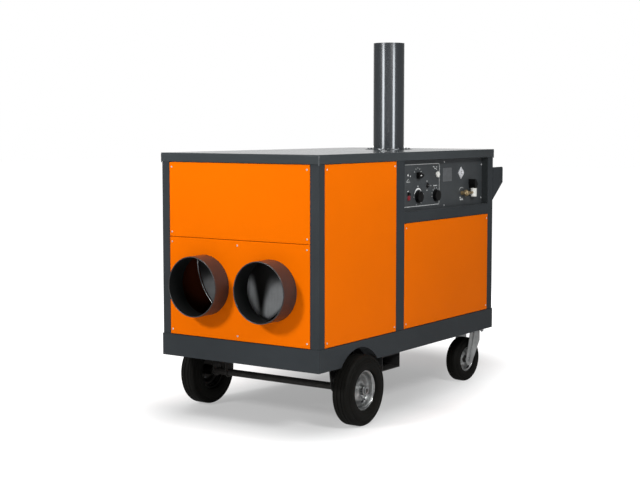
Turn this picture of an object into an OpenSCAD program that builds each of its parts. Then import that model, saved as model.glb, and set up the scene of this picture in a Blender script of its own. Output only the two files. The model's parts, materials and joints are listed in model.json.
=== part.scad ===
// Indirect fired space heater on two large wheels and two castors.
// Sheet metal cabinet on a pressed base frame, with a round heat exchanger, an axial fan and a burner inside.
// X runs across the body with the controls at +X. The air outlets face -Y. Z is up and the floor is z = 0.

/* [Body] */
// Length of the body over the base skirt
body_l = 2010; // [1960:10:2100]
// Width of the body over the base skirt and the lid
body_w = 1100; // [1080:10:1160]
// Height from the skirt's lower edge to the top of the lid
body_h = 1165; // [1150:5:1220]
// Height of the skirt's lower edge above the floor
ground_h = 350; // [345:1:370]
// Height of the base skirt
skirt_h = 125; // [115:5:140]
// Sheet of the base rails
rail_t = 4; // [3:0.5:5]
// Width of the base rails' flanges
rail_flange = 80; // [76:1:90]
// Radius of the upright corners of the skirt and lid
corner_r = 8; // [5:1:12]
// Depth of the lid's folded lip
lip_h = 50; // [40:1:60]
// Sheet of the lid
lid_t = 3; // [2:0.5:4]
// Bend radius of the lid's top edges
lid_bend = 6; // [4:0.5:7]

/* [Posts] */
// Distance from the skirt's face in to the posts' face
post_inset = 5; // [4.5:0.5:8]
// Width of the corner posts on the front and rear faces
post_w = 55; // [50:1:60]
// Width of the front posts on the sides
front_post_side = 55; // [50:1:60]
// Width of the rear posts on the sides
rear_post_side = 70; // [60:1:80]
// Wall of the posts
post_t = 3; // [2:0.5:4]
// Outer bend radius of the posts
post_bend = 6; // [4:0.5:8]
// Front edge of the middle posts, from the front of the skirt
mid_post_y = 795; // [750:5:850]
// Width of the middle posts
mid_post_w = 90; // [80:1:100]
// Depth of the middle posts and of the control rail
mid_post_d = 55; // [50:1:60]
// Width of the fins that the panels are screwed to
fin_w = 30; // [28:1:36]
// Thickness of the fins
fin_t = 3; // [2:0.5:4]
// Height of the upstand on the base rails and of the control rail's fin
upstand_h = 40; // [38:1:50]

/* [Panels] */
// Gap round each panel
panel_gap = 2.5; // [2:0.25:4]
// Depth of the panels' folded edges
fold_d = 20; // [16:1:24]
// How far the panels stand proud of the posts
panel_proud = 1.5; // [0.5:0.25:2]
// Sheet of the panels
panel_t = 1.5; // [1:0.25:2]
// Bend radius of the panels' edges
panel_bend = 3; // [2:0.25:4]
// Height of the joint between the two front panels
front_joint_z = 687.5; // [650:2.5:750]
// Height of the rail behind that joint
front_rail_h = 76; // [70:1:90]
// Depth of the rail behind that joint
front_rail_d = 30; // [25:1:40]
// Distance of the screws from a panel's upright edge
screw_side = 17.5; // [15:0.5:20]
// Distance of the screws from a panel's upper or lower edge
screw_end = 27; // [24:1:30]
// Radius of a panel screw's head
screw_head_r = 5; // [4:0.5:6]
// Height of a panel screw's head
screw_head_h = 3; // [2:0.5:4]
// Radius of a panel screw's shank
screw_r = 2.5; // [2:0.25:3]
// Clearance round a screw in a panel
screw_clear = 0.3; // [0.2:0.1:0.5]

/* [Outlets] */
// Outer radius of the two air outlets
outlet_r = 170.5; // [150:0.5:175]
// Distance of the outlets' axes from the middle
outlet_x = 231.5; // [215:0.5:245]
// Height of the outlets' axes above the skirt's lower edge
outlet_z = 424; // [400:1:440]
// How far the outlets stand out of the skirt's front
outlet_l = 115; // [90:1:140]
// Wall of the outlets
outlet_t = 2.5; // [2:0.25:3]
// Width of the flange behind the front panel
outlet_flange = 18; // [14:1:22]
// Radius of the rolled bead at the outlet's mouth
outlet_bead = 3; // [2:0.5:4]

/* [Controls] */
// Height of the control recess
recess_h = 302; // [290:1:320]
// Height of the rail under the control recess
control_rail_h = 63; // [55:1:75]
// Depth of the control recess from the posts' face
recess_d = 45; // [35:1:55]
// Sheet of the control tray
tray_t = 3; // [2:0.5:4]
// Front edge of the bordered control field, from the front of the skirt
field_y = 971; // [960:1:985]
// Radius of the two dial knobs
dial_knob_r = 36; // [32:0.5:38]
// Height of the knobs above the plate
knob_h = 21; // [15:1:26]
// Radius of the knobs' shafts
knob_shaft_r = 3; // [2.5:0.25:4]
// Length of the selector's pointer
pointer_l = 60; // [50:1:66]
// Radius of the reset button
button_r = 18.5; // [14:0.5:20]
// Travel of the reset button
button_travel = 3; // [2:0.5:4]
// Running gap between a moving control and its plate
control_gap = 0.5; // [0.3:0.1:1]
// Depth of the relay box behind the controls
relay_box_d = 90; // [70:5:110]

/* [Heat exchanger and burner] */
// Radius of the heat exchanger's drum
drum_r = 350; // [330:5:365]
// Height of the drum's axis above the skirt's lower edge
drum_z = 567; // [550:1:580]
// Distance from the skirt's front to the drum's front head
drum_y = 80; // [70:1:100]
// Room behind the drum, up to the skirt's rear
drum_room = 530; // [525:5:560]
// Depth of the smoke box behind the drum
smoke_l = 220; // [215:1:224]
// Sheet of the drum
drum_t = 3; // [2:0.5:4]
// Edge radius of the drum's front head
drum_knuckle = 18; // [12:1:25]
// Distance of the flue's axis from the skirt's rear
flue_back = 416; // [410:1:418]
// Outer radius of the flue
flue_r = 100; // [90:1:102]
// Wall of the flue
flue_t = 1.5; // [1:0.25:2]
// Height of the flue above the lid
flue_h = 678; // [600:5:750]
// Radius of the flange at the flue's foot
flue_flange_r = 152.5; // [140:0.5:160]
// Half width of the smoke box
smoke_half_w = 160; // [150:5:180]
// Top of the smoke box above the skirt's lower edge
smoke_top = 960; // [950:5:980]
// Height of the burner's axis above the skirt's lower edge
burner_z = 760; // [750:1:770]
// Radius of the burner's blast tube
burner_tube_r = 60; // [50:1:65]

/* [Fan] */
// Radius of the fan ring's opening
fan_ring_r = 250; // [230:1:252]
// Running gap between the blades and the ring
fan_gap = 8; // [5:1:12]
// Height of the fan's axis above the skirt's lower edge
fan_z = 385; // [383:1:390]
// Number of fan blades
fan_blades = 6; // [5:1:8]
// Radius of the fan's shaft
fan_shaft_r = 10; // [8:0.5:12]
// Radius of the fan's motor
fan_motor_r = 65; // [55:1:75]

/* [Wheels] */
// Radius of the front tyres
wheel_r = 200; // [195:1:203]
// Distance of the axle from the skirt's front
axle_y = 400; // [390:1:420]
// Width of the front tyres
tyre_w = 115; // [105:1:117]
// Distance of the front tyres' middles inside the skirt's sides
wheel_inset = 8; // [2:1:12]
// Radius of the wheel arches
arch_r = 239; // [230:1:245]
// Radius at the ends of the wheel arches
arch_end_r = 45; // [30:1:50]
// Radius of the bead seat on the front rims
rim_seat_r = 101.6; // [98:0.1:104]
// Half width between the front rims' flanges
rim_half_w = 32; // [28:0.5:36]
// Height of the front rims' flanges
rim_lip = 8; // [6:0.5:10]
// Sheet of the wheels' rims
rim_t = 2.5; // [2:0.25:3]
// Radius of the axle's bar
axle_r = 20.5; // [16:0.5:22]
// Radius of the axle's stubs
stub_r = 12.5; // [10:0.5:14]
// Radial running clearance of every shaft and pin
run_clear = 0.05; // [0.03:0.01:0.08]
// End play of turning parts
end_play = 0.4; // [0.3:0.1:0.8]
// Gap between the axle hangers and the tyres
hanger_gap = 9.5; // [6:0.5:14]
// Width of the axle hangers
hanger_w = 100; // [90:1:110]
// Plate of the axle hangers
hanger_t = 6; // [5:0.5:8]

/* [Castors] */
// Radius of the castor tyres
castor_r = 143; // [135:1:146]
// Width of the castor tyres
castor_w = 88; // [80:1:92]
// Distance of the castors' swivel axes inside the skirt's sides
castor_inset = 143; // [140:1:160]
// Distance of the swivel axes from the skirt's rear
castor_back = 70; // [66:1:80]
// Turn of the castors about their swivel axes at rest
castor_turn = 6.5; // [0:0.5:10]
// Trail of the castor wheels
castor_trail = 59.5; // [50:0.5:66]
// Radius of the castor rims
castor_rim_r = 77; // [68:0.5:78]
// Plate of the castor forks
fork_t = 5; // [4:0.5:6]
// Reach of the fork's legs in front of the swivel axis
fork_front = 51; // [45:1:56]
// Reach of the fork's legs behind the swivel axis
fork_back = 56; // [50:1:60]
// Height of the legs' straight rear edge
fork_edge_h = 65; // [50:1:75]
// Radius of the fork's legs at the axle
fork_end_r = 38; // [30:1:40]
// Radius of the kingpin
kingpin_r = 10; // [8:0.5:12]
// Height of the swivel head under the top plate
swivel_h = 18; // [14:1:22]
// Radius of the castor wheel's axle
castor_axle_r = 6; // [5:0.5:8]

/* [Lift channel and handle] */
// Front edge of the lift channel, from the front of the skirt
channel_y = 637; // [625:1:660]
// Width of the lift channel
channel_w = 194; // [180:1:210]
// Height of the lift channel
channel_h = 85; // [70:1:95]
// Wall of the lift channel
channel_t = 5; // [4:0.5:6]
// How far the handle's gussets reach behind the rear posts
handle_reach = 139; // [120:1:150]
// Distance of the gussets' top under the lid's top
handle_drop = 118; // [105:1:135]
// Height of the gussets' outer edge
handle_edge_h = 101; // [90:1:110]
// Height of the gussets at the post
handle_root_h = 210; // [190:1:230]
// Plate of the handle's gussets
handle_t = 5; // [4:0.5:6]
// Radius of the handle's bar
handle_bar_r = 17.5; // [14:0.5:20]

/* [Hidden] */
$fn = 96;

// Overlap that joins the pieces of one welded solid
weld = 0.5;
// Extra length of a cut past the face that it opens
past = 1;

half_w = body_w / 2;
post_x = half_w - post_inset;
post_front = post_inset;
post_rear = body_l - post_inset;
front_y = outlet_l - (outlet_l + post_rear + handle_reach) / 2;
lid_under = body_h - lid_t;
lip_z = body_h - lip_h;
control_rail_z = lip_z - recess_h - control_rail_h;
handle_top = body_h - handle_drop;
fin_d = fold_d - panel_proud;
panel_low = skirt_h + panel_gap;
panel_high = lip_z - panel_gap;
panel_half_w = post_x - post_w - panel_gap;
panel_face_front = post_front - panel_proud;
panel_face_rear = post_rear + panel_proud;
panel_face_x = post_x + panel_proud;
front_post_end = post_front + front_post_side;
mid_post_end = mid_post_y + mid_post_w;
rear_post_start = post_rear - rear_post_side;
upstand_top = skirt_h + upstand_h;
control_low = control_rail_z + control_rail_h;

side_front_span = [front_post_end + panel_gap, mid_post_y - panel_gap];
side_rear_span = [mid_post_end + panel_gap, rear_post_start - panel_gap];
full_span = [panel_low, panel_high];
low_span = [panel_low, control_rail_z - panel_gap];
front_high_span = [front_joint_z + panel_gap / 2, panel_high];
front_low_span = [panel_low, front_joint_z - panel_gap / 2];

function corners(across, up) = [for (a = [across[0] + screw_side, across[1] - screw_side])
    for (b = [up[0] + screw_end, up[1] - screw_end]) [a, b]];
screws_across = [-panel_half_w, panel_half_w];
screws_front_high = corners(screws_across, front_high_span);
screws_front_low = concat(corners(screws_across, front_low_span),
    [for (z = [front_low_span[0] + screw_end, front_low_span[1] - screw_end]) [0, z]]);
screws_rear = concat(corners(screws_across, full_span), [[0, panel_low + screw_end]]);
screws_side_front = corners(side_front_span, full_span);
screws_right_rear = corners(side_rear_span, low_span);
screws_left_rear = corners(side_rear_span, full_span);
screw_l = fold_d + fin_t + 2;

tray_face = post_x - recess_d;
tray_screw_back = [500, 11];
screws_tray_mid = [for (z = [control_low + 14, lip_z - 20]) [rear_post_start - tray_screw_back[0], z]];
screws_tray_rear = [for (z = [control_low + 40, lip_z - 49]) [rear_post_start - tray_screw_back[1], z]];
screws_tray = concat(screws_tray_mid, screws_tray_rear);

arch_z = wheel_r - ground_h;
arch_step = 0.2;
arch_corner = [sqrt(pow(arch_r + arch_end_r + arch_step, 2) - pow(arch_end_r - arch_z, 2)), arch_end_r];
wheel_x = half_w - wheel_inset;
hub_half = 46;
hub_r = 27;
castor_axle_z = castor_r - ground_h;
castor_plate_t = 8;
castor_x = half_w - castor_inset;
castor_y = body_l - castor_back;
plate_half_x = 90;
plate_half_y = 62;
fork_crown = -castor_plate_t - swivel_h;
crown_t = 8;
castor_hub_half = castor_w / 2 + 6;
fork_half = castor_hub_half + end_play;
rail_inner = half_w - rail_flange;

drum_l = body_l - drum_room - drum_y;
flue_y = body_l - flue_back;
bulkhead_t = 2;
smoke_back = drum_y + drum_l + smoke_l;
fan_y = smoke_back + bulkhead_t;
fan_r = fan_ring_r - fan_gap;
fan_ring_l = 78;
grille_half_w = 250;
grille_low = 72;
grille_h = 500;
grille_span = [panel_low + grille_low, panel_low + grille_low + grille_h];

// Places of the controls: distance behind the field's front edge, height above the control rail
upper_row = 208;
lower_row = 80;
selector_in = 142;
room_dial_in = 146;
heat_dial_in = 358;
toggle_in = 257;
toggle_up = 144;
rocker_in = 32;
rocker_up = 86;
button_in = 372;
socket_back = 287;
fuel_back = 274;
function on_field(p) = [field_y + p[0], control_low + p[1]];
selector_at = on_field([selector_in, upper_row]);
room_dial_at = on_field([room_dial_in, lower_row]);
heat_dial_at = on_field([heat_dial_in, lower_row]);
toggle_at = on_field([toggle_in, toggle_up]);
rocker_at = on_field([rocker_in, rocker_up]);
button_at = on_field([button_in, upper_row]);
socket_at = [rear_post_start - socket_back, control_low + upper_row];
fuel_at = [rear_post_start - fuel_back, control_low + lower_row];

orange = [0.96, 0.45, 0.04];
anthracite = [0.22, 0.24, 0.26];
dark = [0.12, 0.13, 0.14];
brown = [0.36, 0.24, 0.21];
zinc = [0.72, 0.73, 0.74];
steel = [0.62, 0.63, 0.64];
rubber = [0.07, 0.07, 0.07];
knob_black = [0.05, 0.05, 0.06];

module in_place() translate([0, front_y, ground_h]) children();
module left() mirror([1, 0, 0]) children();
module block(a, b) translate(a) cube(b - a);
module rod_x(r, x0, x1, y, z) translate([x0, y, z]) rotate([0, 90, 0]) cylinder(r = r, h = x1 - x0);
module rod_y(r, y0, y1, x, z) translate([x, y0, z]) rotate([-90, 0, 0]) cylinder(r = r, h = y1 - y0);
module rod_z(r, z0, z1, x, y) translate([x, y, z0]) cylinder(r = r, h = z1 - z0);

// Rectangle from a to b with all corners rounded
module round_rect(a, b, r) {
    translate([a[0] + r, a[1]]) square([b[0] - a[0] - 2 * r, b[1] - a[1]]);
    translate([a[0], a[1] + r]) square([b[0] - a[0], b[1] - a[1] - 2 * r]);
    for (x = [a[0] + r, b[0] - r])
        for (y = [a[1] + r, b[1] - r]) translate([x, y]) circle(r);
}

// Rectangle of width w and depth d, centred on x, rounded at y = 0 only
module bent_profile(w, d, r) {
    translate([-w / 2, r]) square([w, d - r]);
    translate([-w / 2 + r, 0]) square([w - 2 * r, d]);
    for (x = [-w / 2 + r, w / 2 - r]) translate([x, r]) circle(r);
}

// Slab with its front face at y = 0 and bent edges, in the x-z plane
module bent_slab(w, h, d, r) {
    intersection() {
        translate([0, 0, -h / 2]) linear_extrude(h) bent_profile(w, d, r);
        translate([-w / 2, 0, 0]) rotate([90, 0, 90]) linear_extrude(w)
            rotate(90) mirror([0, 1]) bent_profile(h, d, r);
    }
}

// Folded tray: skin at y = 0, edges folded back by fold_d
module cassette(across, up) {
    w = across[1] - across[0];
    h = up[1] - up[0];
    translate([(across[0] + across[1]) / 2, 0, (up[0] + up[1]) / 2]) difference() {
        bent_slab(w, h, fold_d, panel_bend);
        translate([0, panel_t, 0])
            bent_slab(w - 2 * panel_t, h - 2 * panel_t, fold_d, panel_bend - panel_t);
    }
}

// Places for things drawn with their face at y = 0 and their depth along +y
module on_front() translate([0, panel_face_front, 0]) children();
module on_rear() translate([0, panel_face_rear, 0]) mirror([0, 1, 0]) children();
module on_right() translate([panel_face_x, 0, 0]) rotate(90) children();
module on_left() left() on_right() children();
module on_tray() translate([tray_face, 0, 0]) rotate(90) children();

module screw_cuts(places, r) {
    for (p = places) rod_y(r, -past, screw_l + past, p[0], p[1]);
}
module screws(places, l) {
    for (p = places) {
        translate([p[0], 0, p[1]]) rotate([90, 0, 0]) {
            cylinder(r = screw_head_r, h = screw_head_h / 2);
            translate([0, 0, screw_head_h / 2])
                cylinder(r1 = screw_head_r, r2 = screw_head_r * 0.6, h = screw_head_h / 2);
        }
        rod_y(screw_r, -weld, l, p[0], p[1]);
    }
}
panel_hole = screw_r + screw_clear;
thread_hole = screw_r + run_clear;

// Base frame
module ring(width, z0, z1) {
    translate([0, 0, z0]) linear_extrude(z1 - z0) difference() {
        round_rect([-half_w, 0], [half_w, body_l], corner_r);
        translate([-half_w + width, width]) square([body_w - 2 * width, body_l - 2 * width]);
    }
}
module base_ring() {
    ring(rail_t, 0, skirt_h);
    ring(rail_flange, 0, rail_t);
    ring(rail_flange, skirt_h - rail_t, skirt_h);
}
end_wrap = corner_r + 4;
module end_rail_front() {
    difference() {
        union() {
            intersection() {
                base_ring();
                block([-half_w - past, -past, -past], [half_w + past, rail_flange, skirt_h + past]);
            }
            block([-post_x + post_w, post_front + fin_d, skirt_h - weld],
                  [post_x - post_w, post_front + fin_d + fin_t, upstand_top]);
        }
        on_front() screw_cuts(concat(screws_front_low, screws_rear), thread_hole);
        for (s = [0, 1]) mirror([s, 0, 0])
            block([rail_inner, end_wrap, -2 * past], [half_w + 2 * past, rail_flange + past, skirt_h + 2 * past]);
    }
}
module base_end_rails() in_place() color(anthracite) {
    end_rail_front();
    translate([0, body_l, 0]) mirror([0, 1, 0]) end_rail_front();
}
module side_rail(rear_screws) {
    difference() {
        union() {
            intersection() {
                base_ring();
                block([rail_inner, end_wrap, -past], [half_w + past, body_l - end_wrap, skirt_h + past]);
            }
            for (s = [[front_post_end, mid_post_y], [mid_post_end, rear_post_start]])
                block([post_x - fin_d - fin_t, s[0], skirt_h - weld], [post_x - fin_d, s[1], upstand_top]);
        }
        translate([rail_inner - past, axle_y, 0]) rotate([90, 0, 90])
            linear_extrude(rail_flange + 2 * past) arch_cut();
        on_right() screw_cuts(concat(screws_side_front, rear_screws), thread_hole);
    }
    translate([rail_inner, axle_y, 0]) rotate([90, 0, 90])
        linear_extrude(rail_flange - rail_t + weld) arch_liner();
}
liner_t = 3;
liner_low = 18;
module arch_liner() intersection() {
    difference() {
        translate([0, arch_z]) circle(arch_r + liner_t);
        translate([0, arch_z]) circle(arch_r);
    }
    translate([-arch_r - liner_t, liner_low]) square([2 * (arch_r + liner_t), skirt_h - liner_low]);
}
// Outline of the wheel arch with rounded lower corners, in the rail's own plane
module arch_cut() {
    translate([0, arch_z]) circle(arch_r);
    for (s = [0, 1]) mirror([s, 0]) difference() {
        polygon([[0, arch_z], arch_corner, [arch_corner[0], -past], [0, -past]]);
        translate(arch_corner) circle(arch_end_r);
    }
}
module base_rail_right() in_place() color(anthracite) side_rail(screws_right_rear);
module base_rail_left() in_place() color(anthracite) left() side_rail(screws_left_rear);

floor_t = 3;
floor_gap = 2;
module base_floor() in_place() color(dark)
    block([-post_x + post_w + floor_gap, front_post_end + floor_gap, skirt_h],
          [post_x - post_w - floor_gap, rear_post_start - floor_gap, skirt_h + floor_t]);

module cross_rail(half, y0, y1) difference() {
    block([-half, y0, 0], [half, y1, skirt_h]);
    block([-half - past, y0 + rail_t, rail_t], [half + past, y1 - rail_t, skirt_h + past]);
}
axle_rail_w = 120;
castor_rail_front = castor_y - plate_half_y - 7;
module cross_rails() in_place() color(dark) {
    cross_rail(rail_inner, axle_y - axle_rail_w / 2, axle_y + axle_rail_w / 2);
    cross_rail(rail_inner, castor_rail_front, body_l - rail_flange);
}
module lift_channel() in_place() color(dark) difference() {
    block([-half_w, channel_y, -channel_h], [half_w, channel_y + channel_w, 0]);
    block([-half_w - past, channel_y + channel_t, -channel_h + channel_t],
          [half_w + past, channel_y + channel_w - channel_t, -channel_t]);
}

// Posts, drawn from the outer corner inwards
module post_tube(wu, wv) {
    difference() {
        union() {
            translate([post_bend, 0]) square([wu - post_bend, wv]);
            translate([0, post_bend]) square([wu, wv - post_bend]);
            translate([post_bend, post_bend]) circle(post_bend);
        }
        translate([post_t, post_t]) square([wu - 2 * post_t, wv - 2 * post_t]);
    }
}
module corner_post(wv, side_fin_top) {
    translate([0, 0, skirt_h]) linear_extrude(lid_under - skirt_h) post_tube(post_w, wv);
    block([post_w - weld, fin_d, upstand_top], [post_w + fin_w, fin_d + fin_t, panel_high]);
    block([fin_d, wv - weld, upstand_top], [fin_d + fin_t, wv + fin_w, side_fin_top]);
}
module post_front_right() in_place() color(anthracite) difference() {
    translate([post_x, post_front, 0]) mirror([1, 0, 0]) corner_post(front_post_side, panel_high);
    on_front() screw_cuts(concat(screws_front_high, screws_front_low), thread_hole);
    on_right() screw_cuts(screws_side_front, thread_hole);
}
module post_front_left() left() post_front_right();
module rear_post(side_fin_top, side_screws) difference() {
    translate([post_x, post_rear, 0]) mirror([1, 0, 0]) mirror([0, 1, 0])
        corner_post(rear_post_side, side_fin_top);
    on_rear() screw_cuts(screws_rear, thread_hole);
    on_right() screw_cuts(side_screws, thread_hole);
}
right_fin_top = control_rail_z - upstand_h;
module post_rear_right() in_place() color(anthracite) rear_post(right_fin_top, screws_right_rear);
module post_rear_left() in_place() color(anthracite) left() rear_post(panel_high, screws_left_rear);

module mid_post(rear_fin_top, rear_screws) difference() {
    union() {
        translate([0, 0, skirt_h]) linear_extrude(lid_under - skirt_h) difference() {
            translate([post_x - mid_post_d, mid_post_y]) square([mid_post_d, mid_post_w]);
            translate([post_x - mid_post_d + post_t, mid_post_y + post_t])
                square([mid_post_d - 2 * post_t, mid_post_w - 2 * post_t]);
        }
        block([post_x - fin_d - fin_t, mid_post_y - fin_w, upstand_top],
              [post_x - fin_d, mid_post_y + weld, panel_high]);
        block([post_x - fin_d - fin_t, mid_post_end - weld, upstand_top],
              [post_x - fin_d, mid_post_end + fin_w, rear_fin_top]);
    }
    on_right() screw_cuts(concat(screws_side_front, rear_screws), thread_hole);
}
module mid_posts() in_place() color(anthracite) {
    mid_post(right_fin_top, screws_right_rear);
    left() mid_post(panel_high, screws_left_rear);
}
module front_rail() in_place() color(anthracite) difference() {
    half = post_x - post_w - fin_w;
    y0 = post_front + fin_d;
    block([-half, y0, front_joint_z - front_rail_h / 2], [half, y0 + front_rail_d, front_joint_z + front_rail_h / 2]);
    block([-half - past, y0 + fin_t, front_joint_z - front_rail_h / 2 + fin_t],
          [half + past, y0 + front_rail_d + past, front_joint_z + front_rail_h / 2 - fin_t]);
    on_front() screw_cuts(screws_front_low, thread_hole);
}
module control_rail() in_place() color(anthracite) difference() {
    union() {
        difference() {
            block([post_x - mid_post_d, mid_post_end, control_rail_z], [post_x, rear_post_start, control_low]);
            block([post_x - mid_post_d + post_t, mid_post_end - past, control_rail_z + post_t],
                  [post_x - post_t, rear_post_start + past, control_low - post_t]);
        }
        block([post_x - fin_d - fin_t, mid_post_end, right_fin_top],
              [post_x - fin_d, rear_post_start, control_rail_z + weld]);
    }
    on_right() screw_cuts(screws_right_rear, thread_hole);
}

// Skins
module lid_block(inset, r, bend, z0, top) {
    intersection() {
        translate([0, 0, z0]) linear_extrude(top - z0)
            round_rect([-half_w + inset, inset], [half_w - inset, body_l - inset], r);
        translate([0, 0, top]) rotate([-90, 0, 0]) linear_extrude(body_l)
            bent_profile(body_w - 2 * inset, top - z0, bend);
        translate([0, body_l / 2, top]) rotate([0, 0, 90]) rotate([-90, 0, 0])
            translate([0, 0, -half_w]) linear_extrude(body_w)
            bent_profile(body_l - 2 * inset, top - z0, bend);
    }
}
lid_hole_gap = 2;
module lid() in_place() color(anthracite) difference() {
    lid_block(0, corner_r, lid_bend, lip_z, body_h);
    lid_block(lid_t, corner_r - lid_t, lid_bend - lid_t, lip_z - past, lid_under);
    rod_z(flue_r + lid_hole_gap, lid_under - past, body_h + past, 0, flue_y);
}
module front_panel_upper() in_place() color(orange) on_front() difference() {
    cassette(screws_across, front_high_span);
    screw_cuts(screws_front_high, panel_hole);
}
outlet_hole_gap = 0.5;
module front_panel_lower() in_place() color(orange) difference() {
    on_front() cassette(screws_across, front_low_span);
    on_front() screw_cuts(screws_front_low, panel_hole);
    for (x = [-outlet_x, outlet_x])
        rod_y(outlet_r + outlet_hole_gap, panel_face_front - past, fold_d, x, outlet_z);
}
module side_panel(across, up, places) difference() {
    cassette(across, up);
    screw_cuts(places, panel_hole);
}
module side_panel_right_front() in_place() color(orange)
    on_right() side_panel(side_front_span, full_span, screws_side_front);
module side_panel_right_rear() in_place() color(orange)
    on_right() side_panel(side_rear_span, low_span, screws_right_rear);
module side_panel_left_front() in_place() color(orange)
    on_left() side_panel(side_front_span, full_span, screws_side_front);
module side_panel_left_rear() in_place() color(orange)
    on_left() side_panel(side_rear_span, full_span, screws_left_rear);
module rear_panel() in_place() color(orange) on_rear() difference() {
    cassette(screws_across, full_span);
    screw_cuts(screws_rear, panel_hole);
    block([-grille_half_w, -past, grille_span[0]], [grille_half_w, fold_d, grille_span[1]]);
}
grille_rim = 25;
grille_t = 3;
slat_pitch = 36;
slat_w = 24;
slat_tilt = 35;
module intake_grille() in_place() color(anthracite) on_rear() {
    low = grille_span[0];
    high = grille_span[1];
    difference() {
        block([-grille_half_w - grille_rim, -grille_t, low - grille_rim],
              [grille_half_w + grille_rim, 0, high + grille_rim]);
        block([-grille_half_w + grille_t, -grille_t - past, low + grille_t],
              [grille_half_w - grille_t, past, high - grille_t]);
    }
    intersection() {
        block([-grille_half_w, -grille_t, low + grille_t - weld], [grille_half_w, fold_d - grille_t, high - grille_t + weld]);
        union() {
            for (z = [low + slat_pitch / 2 : slat_pitch : high]) translate([0, 0, z]) rotate([-slat_tilt, 0, 0])
                block([-grille_half_w, -slat_w / 2, -grille_t / 2], [grille_half_w, slat_w / 2, grille_t / 2]);
            for (x = [-grille_half_w, grille_half_w - grille_t])
                block([x, -grille_t, low], [x + grille_t, fold_d, high]);
        }
    }
}
module panel_screws() in_place() color(zinc) {
    on_front() screws(concat(screws_front_high, screws_front_low), screw_l);
    on_rear() screws(screws_rear, screw_l);
    on_right() screws(concat(screws_side_front, screws_right_rear), screw_l);
    on_left() screws(concat(screws_side_front, screws_left_rear), screw_l);
    on_tray() screws(screws_tray, tray_t + 4);
}

// Air outlets
module air_outlet() {
    skin = panel_face_front + panel_t;
    neck = panel_face_front - 0.5;
    neck_step = 1;
    translate([outlet_x, -outlet_l, outlet_z]) rotate([-90, 0, 0]) rotate_extrude() {
        translate([outlet_r - outlet_t, outlet_bead]) square([outlet_t, outlet_l + neck - outlet_bead]);
        translate([outlet_r - outlet_t, outlet_bead]) square([outlet_t - neck_step, outlet_l + skin + outlet_t - outlet_bead]);
        translate([outlet_r - outlet_bead, outlet_bead]) circle(outlet_bead);
        translate([outlet_r - outlet_t, outlet_l + skin]) square([outlet_t + outlet_flange, outlet_t]);
    }
}
module air_outlet_right() in_place() color(brown) air_outlet();
module air_outlet_left() in_place() color(brown) left() air_outlet();

// Heat exchanger: drum, feet and smoke box welded together
module drum_profile(r, l, knuckle) {
    square([r - knuckle, l]);
    translate([0, knuckle]) square([r, l - knuckle]);
    translate([r - knuckle, knuckle]) circle(knuckle);
}
foot_half_w = 200;
foot_t = 10;
foot_inset = 220;
foot_places = [foot_inset, drum_l - foot_inset];
pass_r = 22;
pass_places = [[-110, 640], [110, 640], [-110, 720], [110, 720], [-110, 800], [110, 800]];
module heat_exchanger() in_place() color(steel) {
    drum_back = drum_y + drum_l;
    difference() {
        union() {
            translate([0, drum_y, drum_z]) rotate([-90, 0, 0]) rotate_extrude() difference() {
                drum_profile(drum_r, drum_l, drum_knuckle);
                translate([0, drum_t]) drum_profile(drum_r - drum_t, drum_l - 2 * drum_t, drum_knuckle - drum_t);
            }
            difference() {
                for (y = foot_places)
                    block([-foot_half_w, drum_y + y, skirt_h + floor_t], [foot_half_w, drum_y + y + foot_t, drum_z]);
                rod_y(drum_r - drum_t / 2, drum_y, drum_back, 0, drum_z);
            }
            difference() {
                block([-smoke_half_w, drum_back - weld, drum_z], [smoke_half_w, smoke_back, smoke_top]);
                block([-smoke_half_w + drum_t, drum_back, drum_z + drum_t],
                      [smoke_half_w - drum_t, smoke_back - drum_t, smoke_top - drum_t]);
            }
        }
        rod_y(burner_tube_r + past, drum_back - 2 * drum_t, smoke_back + past, 0, burner_z);
        rod_z(flue_r - flue_t, smoke_top - 2 * drum_t, smoke_top + past, 0, flue_y);
        for (p = pass_places) rod_y(pass_r, drum_back - 2 * drum_t, drum_back + past, p[0], p[1]);
    }
}
burner_flange_r = 100;
burner_flange_t = 12;
burner_tube_l = 280;
burner_case_l = 220;
burner_case_half = [125, 105];
burner_case_r = 30;
pump_r = 42;
pump_reach = 205;
pump_drop = 20;
module burner() in_place() color("firebrick") {
    y0 = smoke_back;
    rod_y(burner_tube_r, y0 - burner_tube_l, y0 + burner_flange_t + weld, 0, burner_z);
    rod_y(burner_flange_r, y0, y0 + burner_flange_t, 0, burner_z);
    translate([0, y0 + burner_flange_t, burner_z]) rotate([-90, 0, 0]) linear_extrude(burner_case_l)
        round_rect(-burner_case_half, burner_case_half, burner_case_r);
    rod_x(pump_r, -pump_reach, pump_r - burner_case_half[0], y0 + burner_case_l / 2, burner_z - pump_drop);
}

// Fan
module fan_bulkhead() in_place() color(steel) difference() {
    union() {
        block([-post_x + fin_d + fin_t + 4, fan_y - bulkhead_t, skirt_h + floor_t],
              [post_x - fin_d - fin_t - 4, fan_y, control_rail_z - 4]);
        block([-post_x + fin_d + fin_t + 4, fan_y - bulkhead_t, control_rail_z - 5],
              [tray_face - 10, fan_y, lid_under - 6]);
        rod_y(fan_ring_r + 2, fan_y - weld, fan_y + fan_ring_l, 0, fan_z);
    }
    rod_y(fan_ring_r, fan_y - 10, fan_y + fan_ring_l + past, 0, fan_z);
    rod_y(burner_flange_r + 3, fan_y - 10, fan_y + past, 0, burner_z);
    for (s = [0, 1]) mirror([s, 0, 0]) block([rail_inner - 6, fan_y - 10, 0], [half_w, fan_y + 10, upstand_top + 4]);
}
hub_gap = 10;
hub_y = fan_y + hub_gap;
hub_l = 60;
fan_hub_r = 45;
blade_w = 110;
blade_t = 3;
blade_pitch = 32;
motor_gap = 16;
motor_y = hub_y + hub_l + motor_gap;
motor_l = 150;
arm_half = 12;
arm_t = 6;
arm_back = 60;
arm_out = 30;
shaft_in = 30;
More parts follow.
